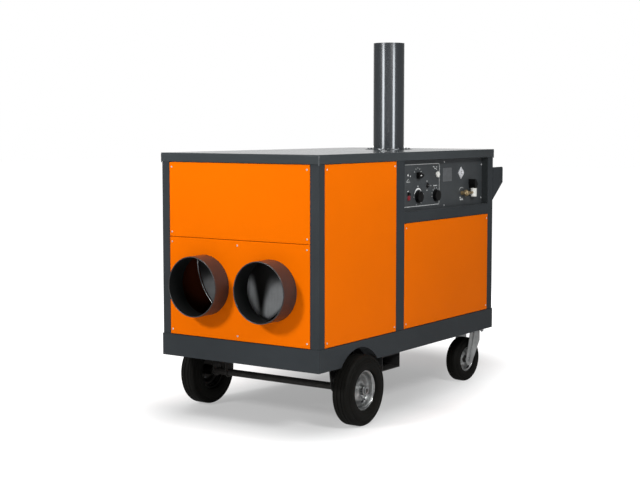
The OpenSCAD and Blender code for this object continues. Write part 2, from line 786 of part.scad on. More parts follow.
module fan_impeller() in_place() color(zinc) {
    rod_y(fan_hub_r, hub_y, hub_y + hub_l, 0, fan_z);
    rod_y(fan_shaft_r, hub_y + hub_l - weld, motor_y + shaft_in - end_play, 0, fan_z);
    intersection() {
        rod_y(fan_r, hub_y, hub_y + hub_l, 0, fan_z);
        translate([0, hub_y + hub_l / 2, fan_z])
            for (i = [0 : fan_blades - 1]) rotate([0, i * 360 / fan_blades, 0])
                translate([0, 0, fan_hub_r - 5]) rotate([0, 0, blade_pitch])
                    block([-blade_w / 2, -blade_t / 2, 0], [blade_w / 2, blade_t / 2, fan_r]);
    }
}
module fan_motor() in_place() color("dimgray") {
    arm_y = motor_y + arm_back;
    reach = fan_ring_r + arm_out;
    difference() {
        union() {
            rod_y(fan_motor_r, motor_y, motor_y + motor_l, 0, fan_z);
            for (a = [45 : 90 : 315]) translate([0, 0, fan_z]) rotate([0, a, 0]) {
                block([-arm_half, arm_y, fan_motor_r - 5], [arm_half, arm_y + arm_t, reach]);
                block([-arm_half, fan_y, reach - arm_t], [arm_half, arm_y + arm_t, reach]);
            }
        }
        rod_y(fan_shaft_r + run_clear, motor_y - past, motor_y + shaft_in, 0, fan_z);
    }
}

// Flue
module flue_pipe() in_place() color(anthracite) difference() {
    rod_z(flue_r, smoke_top, body_h + flue_h, 0, flue_y);
    rod_z(flue_r - flue_t, smoke_top - past, body_h + flue_h + past, 0, flue_y);
}
flue_flange_t = 4;
flue_collar_h = 7;
flue_bolts = 12;
module flue_flange() in_place() color(anthracite) difference() {
    union() {
        rod_z(flue_flange_r, body_h, body_h + flue_flange_t, 0, flue_y);
        rod_z(flue_r + flue_flange_t, body_h, body_h + flue_collar_h, 0, flue_y);
        for (i = [0 : flue_bolts - 1]) translate([0, flue_y, body_h + flue_flange_t - weld])
            rotate(i * 360 / flue_bolts) translate([(flue_flange_r + flue_r) / 2 + 4, 0, 0]) cylinder(r = 6, h = 5);
    }
    rod_z(flue_r + run_clear, body_h - past, body_h + flue_collar_h + past, 0, flue_y);
}

// Front wheels
hanger_out = wheel_x - tyre_w / 2 - hanger_gap;
hanger_in = hanger_out - hanger_w;
hanger_top_half = 55;
hanger_eye_r = axle_r + 10;
hanger_web_h = 110;
module hanger_side() {
    c = [0, arch_z];
    front = [-hanger_top_half, -hanger_t];
    back = [hanger_top_half, -hanger_t];
    polygon([front, back, tangent(back, c, hanger_eye_r - 1, -1), c, tangent(front, c, hanger_eye_r - 1, 1)]);
    translate(c) circle(hanger_eye_r);
}
module axle_hanger() difference() {
    union() {
        block([hanger_in, axle_y - hanger_top_half, -hanger_t], [hanger_out, axle_y + hanger_top_half, 0]);
        for (x = [hanger_in, hanger_out - hanger_t])
            translate([x, axle_y, 0]) rotate([90, 0, 90]) linear_extrude(hanger_t) hanger_side();
        block([hanger_in, axle_y + axle_r, -hanger_web_h], [hanger_out, axle_y + axle_r + hanger_t, -hanger_t + weld]);
    }
    rod_x(axle_r + run_clear, hanger_in - past, hanger_out + past, axle_y, arch_z);
}
module axle_hangers() in_place() color(dark) {
    axle_hanger();
    left() axle_hanger();
}
shoulder_x = wheel_x - hub_half - end_play;
stub_end = wheel_x + hub_half + 10;
module axle() in_place() color(dark) {
    rod_x(axle_r, -shoulder_x, shoulder_x, axle_y, arch_z);
    rod_x(stub_r, -stub_end, stub_end, axle_y, arch_z);
}
nut_t = 9;
nut_r = 21;
module axle_nut() translate([wheel_x + hub_half + end_play, axle_y, arch_z]) rotate([0, 90, 0]) difference() {
    cylinder(r = nut_r, h = nut_t, $fn = 6);
    translate([0, 0, -past]) cylinder(r = stub_r + run_clear, h = nut_t + 2 * past);
}
module axle_nuts() in_place() color(zinc) {
    axle_nut();
    left() axle_nut();
}
// Half section of a pneumatic tyre: radius across, axle direction up
groove_w = 5;
groove_d = 5;
tyre_wall = 9;
module tyre_section(r, w, seat, half_seat, lip) {
    carcass = w / 2;
    tread_w = w * 0.84;
    difference() {
        union() {
            translate([r - carcass, 0]) circle(carcass);
            round_rect([r - 38 * w / 115, -tread_w / 2], [r, tread_w / 2], 12 * w / 115);
        }
        intersection() {
            translate([r - carcass, 0]) circle(carcass - tyre_wall);
            translate([seat + lip + tyre_wall, -w]) square([r, 2 * w]);
        }
        translate([seat - past, -half_seat + tyre_wall]) square([r - carcass - seat, 2 * (half_seat - tyre_wall)]);
        translate([seat - carcass, -w]) square([carcass, 2 * w]);
        for (s = [0, 1]) mirror([0, s]) translate([0, half_seat]) square([seat + lip + rim_t + end_play, w]);
        for (u = [-0.36, -0.13, 0.13, 0.36])
            translate([r - groove_d, u * tread_w - groove_w / 2]) square([groove_d + past, groove_w]);
    }
}
module wheel_tyre() translate([wheel_x, axle_y, arch_z]) rotate([0, 90, 0])
    rotate_extrude() tyre_section(wheel_r, tyre_w, rim_seat_r, rim_half_w, rim_lip);
module wheel_tyre_right() in_place() color(rubber) wheel_tyre();
module wheel_tyre_left() in_place() color(rubber) left() wheel_tyre();

// Rim section: seat, two curled flanges and a dished disc down to the hub
module rim_section(seat, half_seat, lip, t, hub_outer, bore, hub_len) {
    translate([seat - t, -half_seat - t]) square([t, 2 * (half_seat + t)]);
    for (s = [0, 1]) mirror([0, s]) {
        translate([seat - t, half_seat]) square([t + lip, t]);
        translate([seat + lip, half_seat + t]) circle(t);
    }
    dish = half_seat * 0.35;
    step_r = hub_outer + (seat - hub_outer) * 0.45;
    far_r = hub_outer + (seat - hub_outer) * 0.75;
    polygon([[hub_outer - weld, dish], [step_r, dish], [far_r, 0], [seat - t / 2, 0], [seat - t / 2, t],
             [far_r + t / 2, t], [step_r + t / 2, dish + t], [hub_outer - weld, dish + t]]);
    translate([bore, -hub_len]) square([hub_outer - bore, 2 * hub_len]);
}
module wheel_rim() translate([wheel_x, axle_y, arch_z]) rotate([0, 90, 0])
    rotate_extrude() rim_section(rim_seat_r, rim_half_w, rim_lip, rim_t, hub_r, stub_r + run_clear, hub_half);
module wheel_rim_right() in_place() color(zinc) wheel_rim();
module wheel_rim_left() in_place() color(zinc) left() wheel_rim();

// Castors
module castor_plate() {
    block([castor_x - plate_half_x, castor_y - plate_half_y, -castor_plate_t],
          [castor_x + plate_half_x, castor_y + plate_half_y, 0]);
    rod_z(36, fork_crown + end_play, -castor_plate_t + weld, castor_x, castor_y);
    rod_z(kingpin_r, fork_crown - crown_t - end_play - 6, fork_crown + end_play + weld, castor_x, castor_y);
    rod_z(kingpin_r + 7, fork_crown - crown_t - end_play - 6, fork_crown - crown_t - end_play, castor_x, castor_y);
}
module castor_plates() in_place() color(zinc) {
    castor_plate();
    left() castor_plate();
}
function tangent(p, c, r, s) = let (d = norm(p - c), a = atan2(p[1] - c[1], p[0] - c[0]) + s * acos(r / d))
    c + r * [cos(a), sin(a)];
module fork_leg() {
    c = [-castor_trail, castor_axle_z];
    inner_r = fork_end_r - 1;
    front = [-fork_front, fork_crown];
    back = [fork_back, fork_crown - fork_edge_h];
    difference() {
        union() {
            polygon([front, [fork_back, fork_crown], back, tangent(back, c, inner_r, -1), c,
                     tangent(front, c, inner_r, 1)]);
            translate(c) circle(fork_end_r);
        }
        translate(c) circle(castor_axle_r + run_clear);
    }
}
module at_castor() translate([castor_x, castor_y, 0]) rotate(-castor_turn) children();
module castor_fork() at_castor() {
    difference() {
        block([-fork_half - fork_t, -fork_front, fork_crown - crown_t], [fork_half + fork_t, fork_back, fork_crown]);
        rod_z(kingpin_r + run_clear, fork_crown - crown_t - past, fork_crown + past, 0, 0);
    }
    for (s = [0, 1]) mirror([s, 0, 0]) translate([fork_half, 0, 0]) rotate([90, 0, 90]) linear_extrude(fork_t) fork_leg();
}
module at_castor_wheel() at_castor() translate([0, -castor_trail, castor_axle_z]) rotate([0, 90, 0]) children();
// Bolt that carries the castor wheel, with its head and nut outside the legs
module castor_bolt() at_castor_wheel() {
    translate([0, 0, -fork_half - fork_t - 8]) cylinder(r = castor_axle_r, h = 2 * (fork_half + fork_t + 8));
    for (z = [-fork_half - fork_t - 8 - control_gap, fork_half + fork_t + control_gap])
        translate([0, 0, z]) cylinder(r = 11, h = 8, $fn = 6);
}
module castor_fork_right() in_place() color(zinc) {
    castor_fork();
    castor_bolt();
}
module castor_fork_left() in_place() color(zinc) left() {
    castor_fork();
    castor_bolt();
}
castor_seat = castor_rim_r - 5;
castor_half_seat = castor_w * 0.27;
module castor_tyre() at_castor_wheel() rotate_extrude()
    tyre_section(castor_r, castor_w, castor_seat, castor_half_seat, 5);
module castor_rim() at_castor_wheel() rotate_extrude()
    rim_section(castor_seat, castor_half_seat, 5, rim_t, 22, castor_axle_r + run_clear, castor_hub_half);
module castor_tyre_right() in_place() color(rubber) castor_tyre();
module castor_tyre_left() in_place() color(rubber) left() castor_tyre();
module castor_rim_right() in_place() color(zinc) castor_rim();
module castor_rim_left() in_place() color(zinc) left() castor_rim();

// Handle
gusset_r = 12;
module gusset_outline() {
    low = handle_top - handle_root_h;
    edge = handle_top - handle_edge_h;
    union() {
        polygon([[0, low], [handle_reach, edge], [handle_reach, handle_top - gusset_r],
                 [handle_reach - gusset_r, handle_top], [0, handle_top]]);
        translate([handle_reach - gusset_r, handle_top - gusset_r]) circle(gusset_r);
    }
}
gusset_foot = 45;
module handle_gusset() {
    translate([post_x - handle_t, post_rear, 0]) rotate([90, 0, 90]) linear_extrude(handle_t) gusset_outline();
    block([post_x - gusset_foot, post_rear, handle_top - handle_root_h], [post_x, post_rear + handle_t, handle_top]);
}
module handle_gussets() in_place() color(anthracite) {
    handle_gusset();
    left() handle_gusset();
}
bar_y = post_rear + handle_reach - 40;
bar_z = handle_top - 48;
module handle_bar() in_place() color(anthracite) difference() {
    rod_x(handle_bar_r, -post_x + handle_t, post_x - handle_t, bar_y, bar_z);
    rod_x(handle_bar_r - 2, -post_x, post_x, bar_y, bar_z);
}

// Controls
tray_wall = 2;
rocker_w = 26;
rocker_h = 46;
rocker_gap = 0.3;
rocker_tip = 6;
rocker_pin_r = 2;
bezel_w = 5;
bezel_t = 3;
toggle_ball = 5;
toggle_bush = 5;
button_stem = tray_t + 8;
socket_body_r = 20;
module control_tray() in_place() color(anthracite) difference() {
    union() {
        difference() {
            block([tray_face - tray_t, mid_post_end, control_low], [post_x - tray_wall, rear_post_start, panel_high]);
            block([tray_face, mid_post_end + tray_wall, control_low + tray_wall],
                  [post_x, rear_post_start - tray_wall, panel_high - tray_wall]);
        }
        on_tray() rocker_hole(bezel_w, -bezel_t, weld);
        on_tray() rod_y(toggle_ball + 4, -toggle_bush, weld, toggle_at[0], toggle_at[1]);
    }
    on_tray() {
        for (p = [selector_at, room_dial_at, heat_dial_at, button_at])
            rod_y(knob_shaft_r + run_clear, -past, tray_t + past, p[0], p[1]);
        rod_y(fuel_shaft_r + control_gap, -past, tray_t + past, fuel_at[0], fuel_at[1]);
        rod_y(socket_body_r + control_gap, -past, tray_t + past, socket_at[0], socket_at[1]);
        rod_y(toggle_ball + run_clear, -toggle_bush - past, tray_t + past, toggle_at[0], toggle_at[1]);
        screw_cuts(screws_tray, panel_hole);
        rocker_hole(0, -bezel_t - past, tray_t + past);
        rod_x(rocker_pin_r + run_clear, rocker_at[0] - rocker_w / 2 - bezel_w + past,
              rocker_at[0] + rocker_w / 2 + bezel_w - past, 0, rocker_at[1]);
    }
}
module rocker_hole(grow, y0, y1) block([rocker_at[0] - rocker_w / 2 - grow, y0, rocker_at[1] - rocker_h / 2 - grow],
    [rocker_at[0] + rocker_w / 2 + grow, y1, rocker_at[1] + rocker_h / 2 + grow]);
relay_t = 2;
module relay_box() in_place() color(dark) difference() {
    x1 = tray_face - tray_t;
    y0 = field_y + 8;
    y1 = button_at[0] + button_r + 12;
    block([x1 - relay_box_d, y0, control_low + 12], [x1, y1, panel_high - 12]);
    block([x1 - relay_box_d + relay_t, y0 + relay_t, control_low + 12 + relay_t],
          [x1 + past, y1 - relay_t, panel_high - 12 - relay_t]);
}

grip_notches = 18;
module dial_knob(at) {
    top_r = dial_knob_r * 0.9;
    foot_h = knob_h * 0.35;
    ledge = 1;
    translate([at[0], 0, at[1]]) rotate([90, 0, 0]) {
        difference() {
            translate([0, 0, control_gap]) rotate_extrude() {
                square([dial_knob_r, foot_h]);
                square([top_r, knob_h]);
            }
            for (i = [0 : grip_notches - 1]) rotate(i * 360 / grip_notches)
                translate([top_r + 1, 0, foot_h + control_gap + ledge]) cylinder(r = 2.5, h = knob_h);
        }
        translate([-1.5, dial_knob_r * 0.3, knob_h]) cube([3, dial_knob_r * 0.55, 1.5]);
    }
    knob_shaft(at);
}
module knob_shaft(at) rod_y(knob_shaft_r, -control_gap - weld, tray_t + 6, at[0], at[1]);
selector_r = 20;
module selector_knob() in_place() color(knob_black) on_tray() {
    wide = selector_r * 0.92;
    tip = 4;
    translate([selector_at[0], 0, selector_at[1]]) rotate([90, 0, 0]) translate([0, 0, control_gap]) {
        cylinder(r = selector_r, h = knob_h * 0.5);
        linear_extrude(knob_h) polygon([[-selector_r * 0.9, -wide * 0.9], [selector_r * 0.2, -wide],
            [pointer_l - selector_r, -tip], [pointer_l - selector_r, tip], [selector_r * 0.2, wide],
            [-selector_r * 0.9, wide * 0.9]]);
    }
    knob_shaft(selector_at);
}
module room_dial_knob() in_place() color(knob_black) on_tray() dial_knob(room_dial_at);
module heat_dial_knob() in_place() color(knob_black) on_tray() dial_knob(heat_dial_at);
toggle_l = 20;
toggle_tip = 4.5;
module toggle_lever() in_place() color(knob_black) on_tray()
    translate([toggle_at[0], -toggle_bush + 2, toggle_at[1]]) rotate([90, 0, 0]) {
        sphere(r = toggle_ball);
        cylinder(r1 = 2.5, r2 = toggle_tip, h = toggle_l);
        translate([0, 0, toggle_l]) sphere(r = toggle_tip);
    }
module rocker_switch() in_place() color(knob_black) on_tray()
    translate([rocker_at[0], 0, rocker_at[1]]) rotate([rocker_tip, 0, 0]) {
        cap_w = rocker_w / 2 - rocker_gap;
        cap_h = rocker_h / 2 - 2;
        difference() {
            block([-cap_w, -9, -cap_h], [cap_w, 5, cap_h]);
            translate([-rocker_w, -7 - 60, 0]) rotate([0, 90, 0]) cylinder(r = 60, h = 2 * rocker_w);
        }
        rod_x(rocker_pin_r, -rocker_w / 2 - bezel_w / 2, rocker_w / 2 + bezel_w / 2, 0, 0);
    }
module reset_button() in_place() color("whitesmoke") on_tray() {
    lift = button_travel + control_gap;
    rod_y(button_r, -lift - 8, -lift, button_at[0], button_at[1]);
    rod_y(knob_shaft_r, -lift - weld, button_stem, button_at[0], button_at[1]);
}
socket_bore_r = 16;
socket_half = 36;
module power_socket() in_place() color("gainsboro") on_tray() translate([socket_at[0], 0, socket_at[1]]) rotate([90, 0, 0])
    difference() {
        union() {
            linear_extrude(4) polygon([[-socket_half, 0], [0, -socket_half - 2], [socket_half, 0], [0, socket_half + 2]]);
            cylinder(r = 21, h = 10);
            translate([0, 0, -tray_t - 15]) cylinder(r = socket_body_r, h = tray_t + 16);
        }
        translate([0, 0, -12]) cylinder(r = socket_bore_r, h = 30);
    }
elbow_out = 25;
elbow_r = 9;
fuel_shaft_r = 8;
nut_flare_r = 21;
bowl_r = 20;
bowl_h = 55;
bowl_at = [fuel_at[0] + 115, -elbow_out, fuel_at[1] - 27];
head_out = 20;
head_h = 57;
module fuel_elbow() in_place() color("darkgoldenrod") on_tray() {
    y = fuel_at[0];
    z = fuel_at[1];
    rod_y(fuel_shaft_r, -weld, tray_t + 20, y, z);
    translate([y, 0, z]) rotate([90, 0, 0]) cylinder(r = 14, h = 8, $fn = 6);
    rod_y(elbow_r, -elbow_out, 0, y, z);
    translate([y, -elbow_out, z]) sphere(r = elbow_r);
    rod_x(elbow_r, y, y + 20, -elbow_out, z);
    translate([y, -elbow_out, z]) rotate([0, 90, 0]) cylinder(r1 = elbow_r, r2 = nut_flare_r - 2, h = 12);
    translate([y + 12 - weld, -elbow_out, z]) rotate([0, 90, 0]) cylinder(r = nut_flare_r, h = 14, $fn = 6);
    difference() {
        rod_x(9, y + 20, bowl_at[0], -elbow_out, z);
        rod_z(bowl_r, z - 30, z + 30, bowl_at[0], bowl_at[1]);
    }
}
module filter_bowl() in_place() color("whitesmoke") on_tray() translate(bowl_at) rotate_extrude() {
    edge = 6;
    square([bowl_r - edge, bowl_h]);
    translate([0, edge]) square([bowl_r, bowl_h - edge]);
    translate([bowl_r - edge, edge]) circle(edge);
}
module filter_head() in_place() color(knob_black) on_tray()
    translate([bowl_at[0], 0, bowl_at[2] + bowl_h]) rotate([90, 0, 0]) linear_extrude(elbow_out + head_out)
        polygon([[-14, 0], [14, 0], [14, 16], [24, 24], [-6, head_h], [-23, head_h], [-23, 24]]);

base_end_rails();
base_rail_left();
base_rail_right();
base_floor();
cross_rails();
lift_channel();
post_front_left();
post_front_right();
post_rear_left();
post_rear_right();
mid_posts();
front_rail();
control_rail();
lid();
front_panel_upper();
front_panel_lower();
side_panel_right_front();
side_panel_right_rear();
side_panel_left_front();
side_panel_left_rear();
rear_panel();
intake_grille();
control_tray();
relay_box();
panel_screws();
air_outlet_left();
air_outlet_right();
heat_exchanger();
fan_bulkhead();
fan_impeller();
fan_motor();
burner();
flue_pipe();
flue_flange();
axle();
axle_hangers();
axle_nuts();
wheel_tyre_left();
wheel_tyre_right();
wheel_rim_left();
wheel_rim_right();
castor_plates();
castor_fork_left();
castor_fork_right();
castor_tyre_left();
castor_tyre_right();
castor_rim_left();
castor_rim_right();
handle_gussets();
handle_bar();
selector_knob();
room_dial_knob();
heat_dial_knob();
toggle_lever();
rocker_switch();
reset_button();
power_socket();
fuel_elbow();
filter_bowl();
filter_head();
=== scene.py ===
# Looks for the indirect fired space heater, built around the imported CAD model
import json
import math

import bmesh
import bpy
from mathutils import Matrix, Vector


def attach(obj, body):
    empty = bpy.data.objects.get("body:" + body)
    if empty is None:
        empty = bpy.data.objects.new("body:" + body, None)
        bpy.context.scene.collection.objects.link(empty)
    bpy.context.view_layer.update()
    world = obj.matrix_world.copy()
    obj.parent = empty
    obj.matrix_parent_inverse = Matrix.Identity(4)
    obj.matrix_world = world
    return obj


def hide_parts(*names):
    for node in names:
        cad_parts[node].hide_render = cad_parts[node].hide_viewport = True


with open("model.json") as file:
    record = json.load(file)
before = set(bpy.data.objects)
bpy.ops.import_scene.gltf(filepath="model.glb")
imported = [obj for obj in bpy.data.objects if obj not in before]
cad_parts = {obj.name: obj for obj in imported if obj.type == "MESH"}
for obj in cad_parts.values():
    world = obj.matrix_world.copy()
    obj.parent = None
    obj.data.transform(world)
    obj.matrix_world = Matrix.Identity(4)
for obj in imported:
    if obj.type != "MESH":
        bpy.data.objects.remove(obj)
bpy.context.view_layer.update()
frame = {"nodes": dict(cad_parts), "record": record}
cad = frame["nodes"]
scene = bpy.context.scene
print("frame loaded:", len(cad), "nodes")

# Small tools
mm = 0.001
frontShift = -1.0145  # the skirt's front face along Y
groundGap = 0.350  # the skirt's lower edge above the floor


def alongY(y):
    return y * mm + frontShift


def upZ(z):
    return z * mm + groundGap


def newNode(tree, kind):
    return tree.nodes.new(kind)


def link(tree, a, b):
    tree.links.new(a, b)


# A value is either an output to link from or a constant
def feed(tree, value, socket):
    if hasattr(value, "is_linked"):
        link(tree, value, socket)
    else:
        socket.default_value = value


def noiseAt(tree, coords, scale, detail=3.0, rough=0.5, stretch=None):
    noise = newNode(tree, "ShaderNodeTexNoise")
    noise.inputs["Scale"].default_value = scale
    noise.inputs["Detail"].default_value = detail
    noise.inputs["Roughness"].default_value = rough
    if stretch:
        mapping = newNode(tree, "ShaderNodeMapping")
        mapping.inputs["Scale"].default_value = stretch
        link(tree, coords, mapping.inputs["Vector"])
        coords = mapping.outputs["Vector"]
    link(tree, coords, noise.inputs["Vector"])
    return noise.outputs["Fac"]


def ramp(tree, value, stops):
    node = newNode(tree, "ShaderNodeValToRGB")
    bar = node.color_ramp
    while len(bar.elements) < len(stops):
        bar.elements.new(0.5)
    for element, (place, tone) in zip(bar.elements, stops):
        element.position = place
        element.color = (*tone, 1.0) if hasattr(tone, "__len__") else (tone, tone, tone, 1.0)
    link(tree, value, node.inputs["Fac"])
    return node.outputs["Color"]


def mixColors(tree, share, first, second, mode="MIX"):
    node = newNode(tree, "ShaderNodeMix")
    node.data_type = "RGBA"
    node.blend_type = mode
    for key, value in (("Factor", share), ("A", first), ("B", second)):
        feed(tree, (*value, 1.0) if isinstance(value, tuple) else value, node.inputs[key])
    return node.outputs["Result"]


def calc(tree, kind, *values):
    node = newNode(tree, "ShaderNodeMath")
    node.operation = kind
    for socket, value in zip(node.inputs, values):
        feed(tree, value, socket)
    return node.outputs["Value"]


def dotProduct(tree, first, second):
    node = newNode(tree, "ShaderNodeVectorMath")
    node.operation = "DOT_PRODUCT"
    for socket, value in zip(node.inputs, (first, second)):
        feed(tree, value, socket)
    return node.outputs["Value"]


# The X, Y and Z of a vector that another kind of node gives
def splitVector(tree, kind, output):
    node = newNode(tree, "ShaderNodeSeparateXYZ")
    link(tree, newNode(tree, kind).outputs[output], node.inputs["Vector"])
    return node.outputs


# Rises smoothly from start to 1 as the value goes from low to high
def smoothRise(tree, value, low, high, start=0.0):
    node = newNode(tree, "ShaderNodeMapRange")
    node.interpolation_type = "SMOOTHSTEP"
    for key, number in (("From Min", low), ("From Max", high), ("To Min", start)):
        node.inputs[key].default_value = number
    link(tree, value, node.inputs["Value"])
    return node.outputs["Result"]


# One finish: a base tone with cloudy variation, fine grain, edges lightened in chipped patches (partly wear,
# partly a painted highlight along the edges) and bump. Faces that look inwards, against their own place times
# insideScale plus insideShift, take a darker inside tone as painted shade.
finishDefaults = {
    "rough": 0.45, "roughSpread": 0.08, "metal": 0.0, "specular": 0.5, "ior": 1.5,
    "coat": 0.0, "coatRough": 0.1, "coatIor": 1.5,
    "cloudScale": 3.0, "cloudDepth": 0.08, "grainScale": 900.0, "grainDepth": 0.03, "grainStretch": None,
    "bump": 0.10, "bumpSize": 0.0004, "edge": 0.0, "edgeColor": (0.35, 0.35, 0.36), "edgeRadius": 0.0012,
    "dust": 0.0, "dustColor": (0.30, 0.28, 0.25), "dustTop": 0.35, "inside": None,
    "insideScale": (1.0, 1.0, 1.0), "insideShift": (0.0, 0.0, -1.0),
}
toneVariation = {"cloud": (0.30, 0.70), "grain": (0.35, 0.65), "edge": (0.80, 0.97),
        "chips": ((0.40, 0.15), (0.62, 1.0)), "chipScale": 60.0, "dustScale": 14.0}
finishes = {}


def addFinish(name, color, **changes):
    s = {**finishDefaults, **changes}
    material = bpy.data.materials.new(name)
    material.use_nodes = True
    material.diffuse_color = (*color, 1.0)
    tree = material.node_tree
    tree.nodes.clear()
    out = newNode(tree, "ShaderNodeOutputMaterial")
    skin = newNode(tree, "ShaderNodeBsdfPrincipled")
    link(tree, skin.outputs["BSDF"], out.inputs["Surface"])
    for key, setting in (("Metallic", "metal"), ("Specular IOR Level", "specular"), ("IOR", "ior"),
                         ("Coat Weight", "coat"), ("Coat IOR", "coatIor"), ("Coat Roughness", "coatRough")):
        skin.inputs[key].default_value = s[setting]
    coords = newNode(tree, "ShaderNodeTexCoord").outputs["Object"]
    cloud = noiseAt(tree, coords, s["cloudScale"], 4.0, 0.6)
    grain = noiseAt(tree, coords, s["grainScale"], 2.0, 0.5, s["grainStretch"])
    depths = (1.0 - s["cloudDepth"], 1.0 + s["cloudDepth"])
    shades = [tuple(c * depth for c in color) for depth in depths]
    tone = ramp(tree, cloud, list(zip(toneVariation["cloud"], shades)))
    grainTone = ramp(tree, grain, list(zip(toneVariation["grain"], (1.0 - s["grainDepth"], 1.0))))
    tone = mixColors(tree, 1.0, tone, grainTone, "MULTIPLY")
    if s["dust"]:
        height = splitVector(tree, "ShaderNodeNewGeometry", "Position")["Z"]
        fall = calc(tree, "SUBTRACT", 1.0, calc(tree, "DIVIDE", height, s["dustTop"]))
        patch = noiseAt(tree, coords, toneVariation["dustScale"], 5.0, 0.65)
        share = calc(tree, "MULTIPLY", calc(tree, "MAXIMUM", fall, 0.0),
                     calc(tree, "MULTIPLY", patch, s["dust"]))
        tone = mixColors(tree, share, tone, s["dustColor"])
    # Edges lighten towards edgeColor in chipped patches: partly wear, partly a painted highlight along the
    # edges
    if s["edge"]:
        soft = newNode(tree, "ShaderNodeBevel")
        soft.samples = 4
        soft.inputs["Radius"].default_value = s["edgeRadius"]
        flat = newNode(tree, "ShaderNodeNewGeometry").outputs["True Normal"]
        turn = dotProduct(tree, soft.outputs["Normal"], flat)
        edgeMask = ramp(tree, turn, list(zip(toneVariation["edge"], (1.0, 0.0))))
        chips = ramp(tree, noiseAt(tree, coords, toneVariation["chipScale"], 4.0, 0.7), toneVariation["chips"])
        share = calc(tree, "MULTIPLY", calc(tree, "MULTIPLY", edgeMask, chips), s["edge"])
        tone = mixColors(tree, share, tone, s["edgeColor"])
    # Faces turned inwards take the dark inside tone: painted shade where little light falls
    if s["inside"]:
        face = newNode(tree, "ShaderNodeNewGeometry")
        outward = newNode(tree, "ShaderNodeVectorMath")
        outward.operation = "MULTIPLY_ADD"
        outward.inputs[1].default_value = s["insideScale"]
        outward.inputs[2].default_value = s["insideShift"]
        link(tree, face.outputs["Position"], outward.inputs[0])
        turn = dotProduct(tree, outward.outputs["Vector"], face.outputs["True Normal"])
        tone = mixColors(tree, calc(tree, "LESS_THAN", turn, 0.0), tone, s["inside"])
    link(tree, tone, skin.inputs["Base Color"])
    smoothest = s["rough"] - s["roughSpread"] / 2
    link(tree, calc(tree, "MULTIPLY_ADD", cloud, s["roughSpread"], smoothest), skin.inputs["Roughness"])
    bump = newNode(tree, "ShaderNodeBump")
    bump.inputs["Strength"].default_value = s["bump"]
    bump.inputs["Distance"].default_value = s["bumpSize"]
    link(tree, grain, bump.inputs["Height"])
    if s["edge"]:
        link(tree, soft.outputs["Normal"], bump.inputs["Normal"])
    link(tree, bump.outputs["Normal"], skin.inputs["Normal"])
    finishes[name] = material


# Camera
cameraSettings = {"place": (4.4778, -6.7260, 1.6759), "tilt": math.pi / 2 - 0.0868, "turn": 0.6017,
                  "lens": 74.22, "sensor": 36.0}
cameraData = bpy.data.cameras.new("photoCamera")
camera = bpy.data.objects.new("photoCamera", cameraData)
scene.collection.objects.link(camera)
camera.location = cameraSettings["place"]
camera.rotation_euler = (cameraSettings["tilt"], 0.0, cameraSettings["turn"])
cameraData.sensor_fit = "HORIZONTAL"
cameraData.sensor_width = cameraSettings["sensor"]
cameraData.lens = cameraSettings["lens"]
scene.camera = camera

# Finishes
addFinish("framePaint", (0.0362, 0.0417, 0.0462), rough=0.42, specular=0.3, cloudScale=2.2, cloudDepth=0.10,
          grainScale=1400, grainDepth=0.10, bump=0.12, bumpSize=0.0003, edge=0.35,
          edgeColor=(0.13, 0.14, 0.15), ior=1.25)
addFinish("lidPaint", (0.040, 0.047, 0.051), rough=0.22, specular=0.4, cloudScale=1.8, cloudDepth=0.10,
          grainScale=1100, grainDepth=0.06, bump=0.06, bumpSize=0.0003, edge=0.45,
          edgeColor=(0.22, 0.24, 0.25))
# The tray's end walls take the dark inside tone: painted shade
addFinish("trayPaint", (0.052, 0.058, 0.062), rough=0.42, specular=0.3, cloudScale=5.0, cloudDepth=0.18,
          grainScale=1400, grainDepth=0.14, bump=0.14, bumpSize=0.0003, edge=0.3,
          edgeColor=(0.17, 0.18, 0.19), inside=(0.022, 0.026, 0.027), insideScale=(0.0, 1.0, 0.0),
          insideShift=(0.0, 0.0, 0.0))
# The panels' inward faces take the dark brown inside tone: painted shade inside the body
addFinish("panelPaint", (0.85, 0.155, 0.0), rough=0.34, cloudScale=1.6, cloudDepth=0.025, grainScale=1300,
          grainDepth=0.02, bumpSize=0.0003, edge=0.25, edgeColor=(0.98, 0.35, 0.08), ior=1.08,
          inside=(0.16, 0.035, 0.012))
addFinish("underPaint", (0.01, 0.01, 0.011), rough=0.5, specular=0.25, cloudScale=4.0, cloudDepth=0.15,
          grainScale=800, grainDepth=0.12, bump=0.2, edge=0.3, edgeColor=(0.07, 0.07, 0.075), dust=0.5)
addFinish("outletEnamel", (0.027, 0.028, 0.03), rough=0.3, specular=0.55, cloudScale=6.0, cloudDepth=0.12,
          grainScale=700, grainDepth=0.08, bump=0.12)
addFinish("fluePaint", (0.016, 0.021, 0.026), coatIor=2.2, coatRough=0.115, coat=1.0, rough=0.35,
          specular=0.4, cloudScale=5.0, grainScale=1500, grainDepth=0.02, bump=0.003, bumpSize=0.0003,
          edge=0.4, edgeColor=(0.25, 0.26, 0.27))
addFinish("zincPlate", (0.42, 0.43, 0.44), metal=1.0, rough=0.34, roughSpread=0.18, cloudScale=22.0,
          cloudDepth=0.20, grainScale=500, grainDepth=0.15, bump=0.15, bumpSize=0.0003, edge=0.3,
          edgeColor=(0.80, 0.80, 0.80))
addFinish("drumSheet", (0.75, 0.78, 0.8), roughSpread=0.14, cloudScale=9.0, cloudDepth=0.15, grainScale=300,
          grainDepth=0.12, grainStretch=(1.0, 1.0, 0.04), bumpSize=0.0003, specular=0.4)
addFinish("motorPaint", (0.14, 0.15, 0.16), cloudDepth=0.12, dust=0.3, dustTop=1.2)
addFinish("burnerPaint", (0.33, 0.025, 0.015), rough=0.38, cloudDepth=0.1, edge=0.3,
          edgeColor=(0.5, 0.12, 0.1))
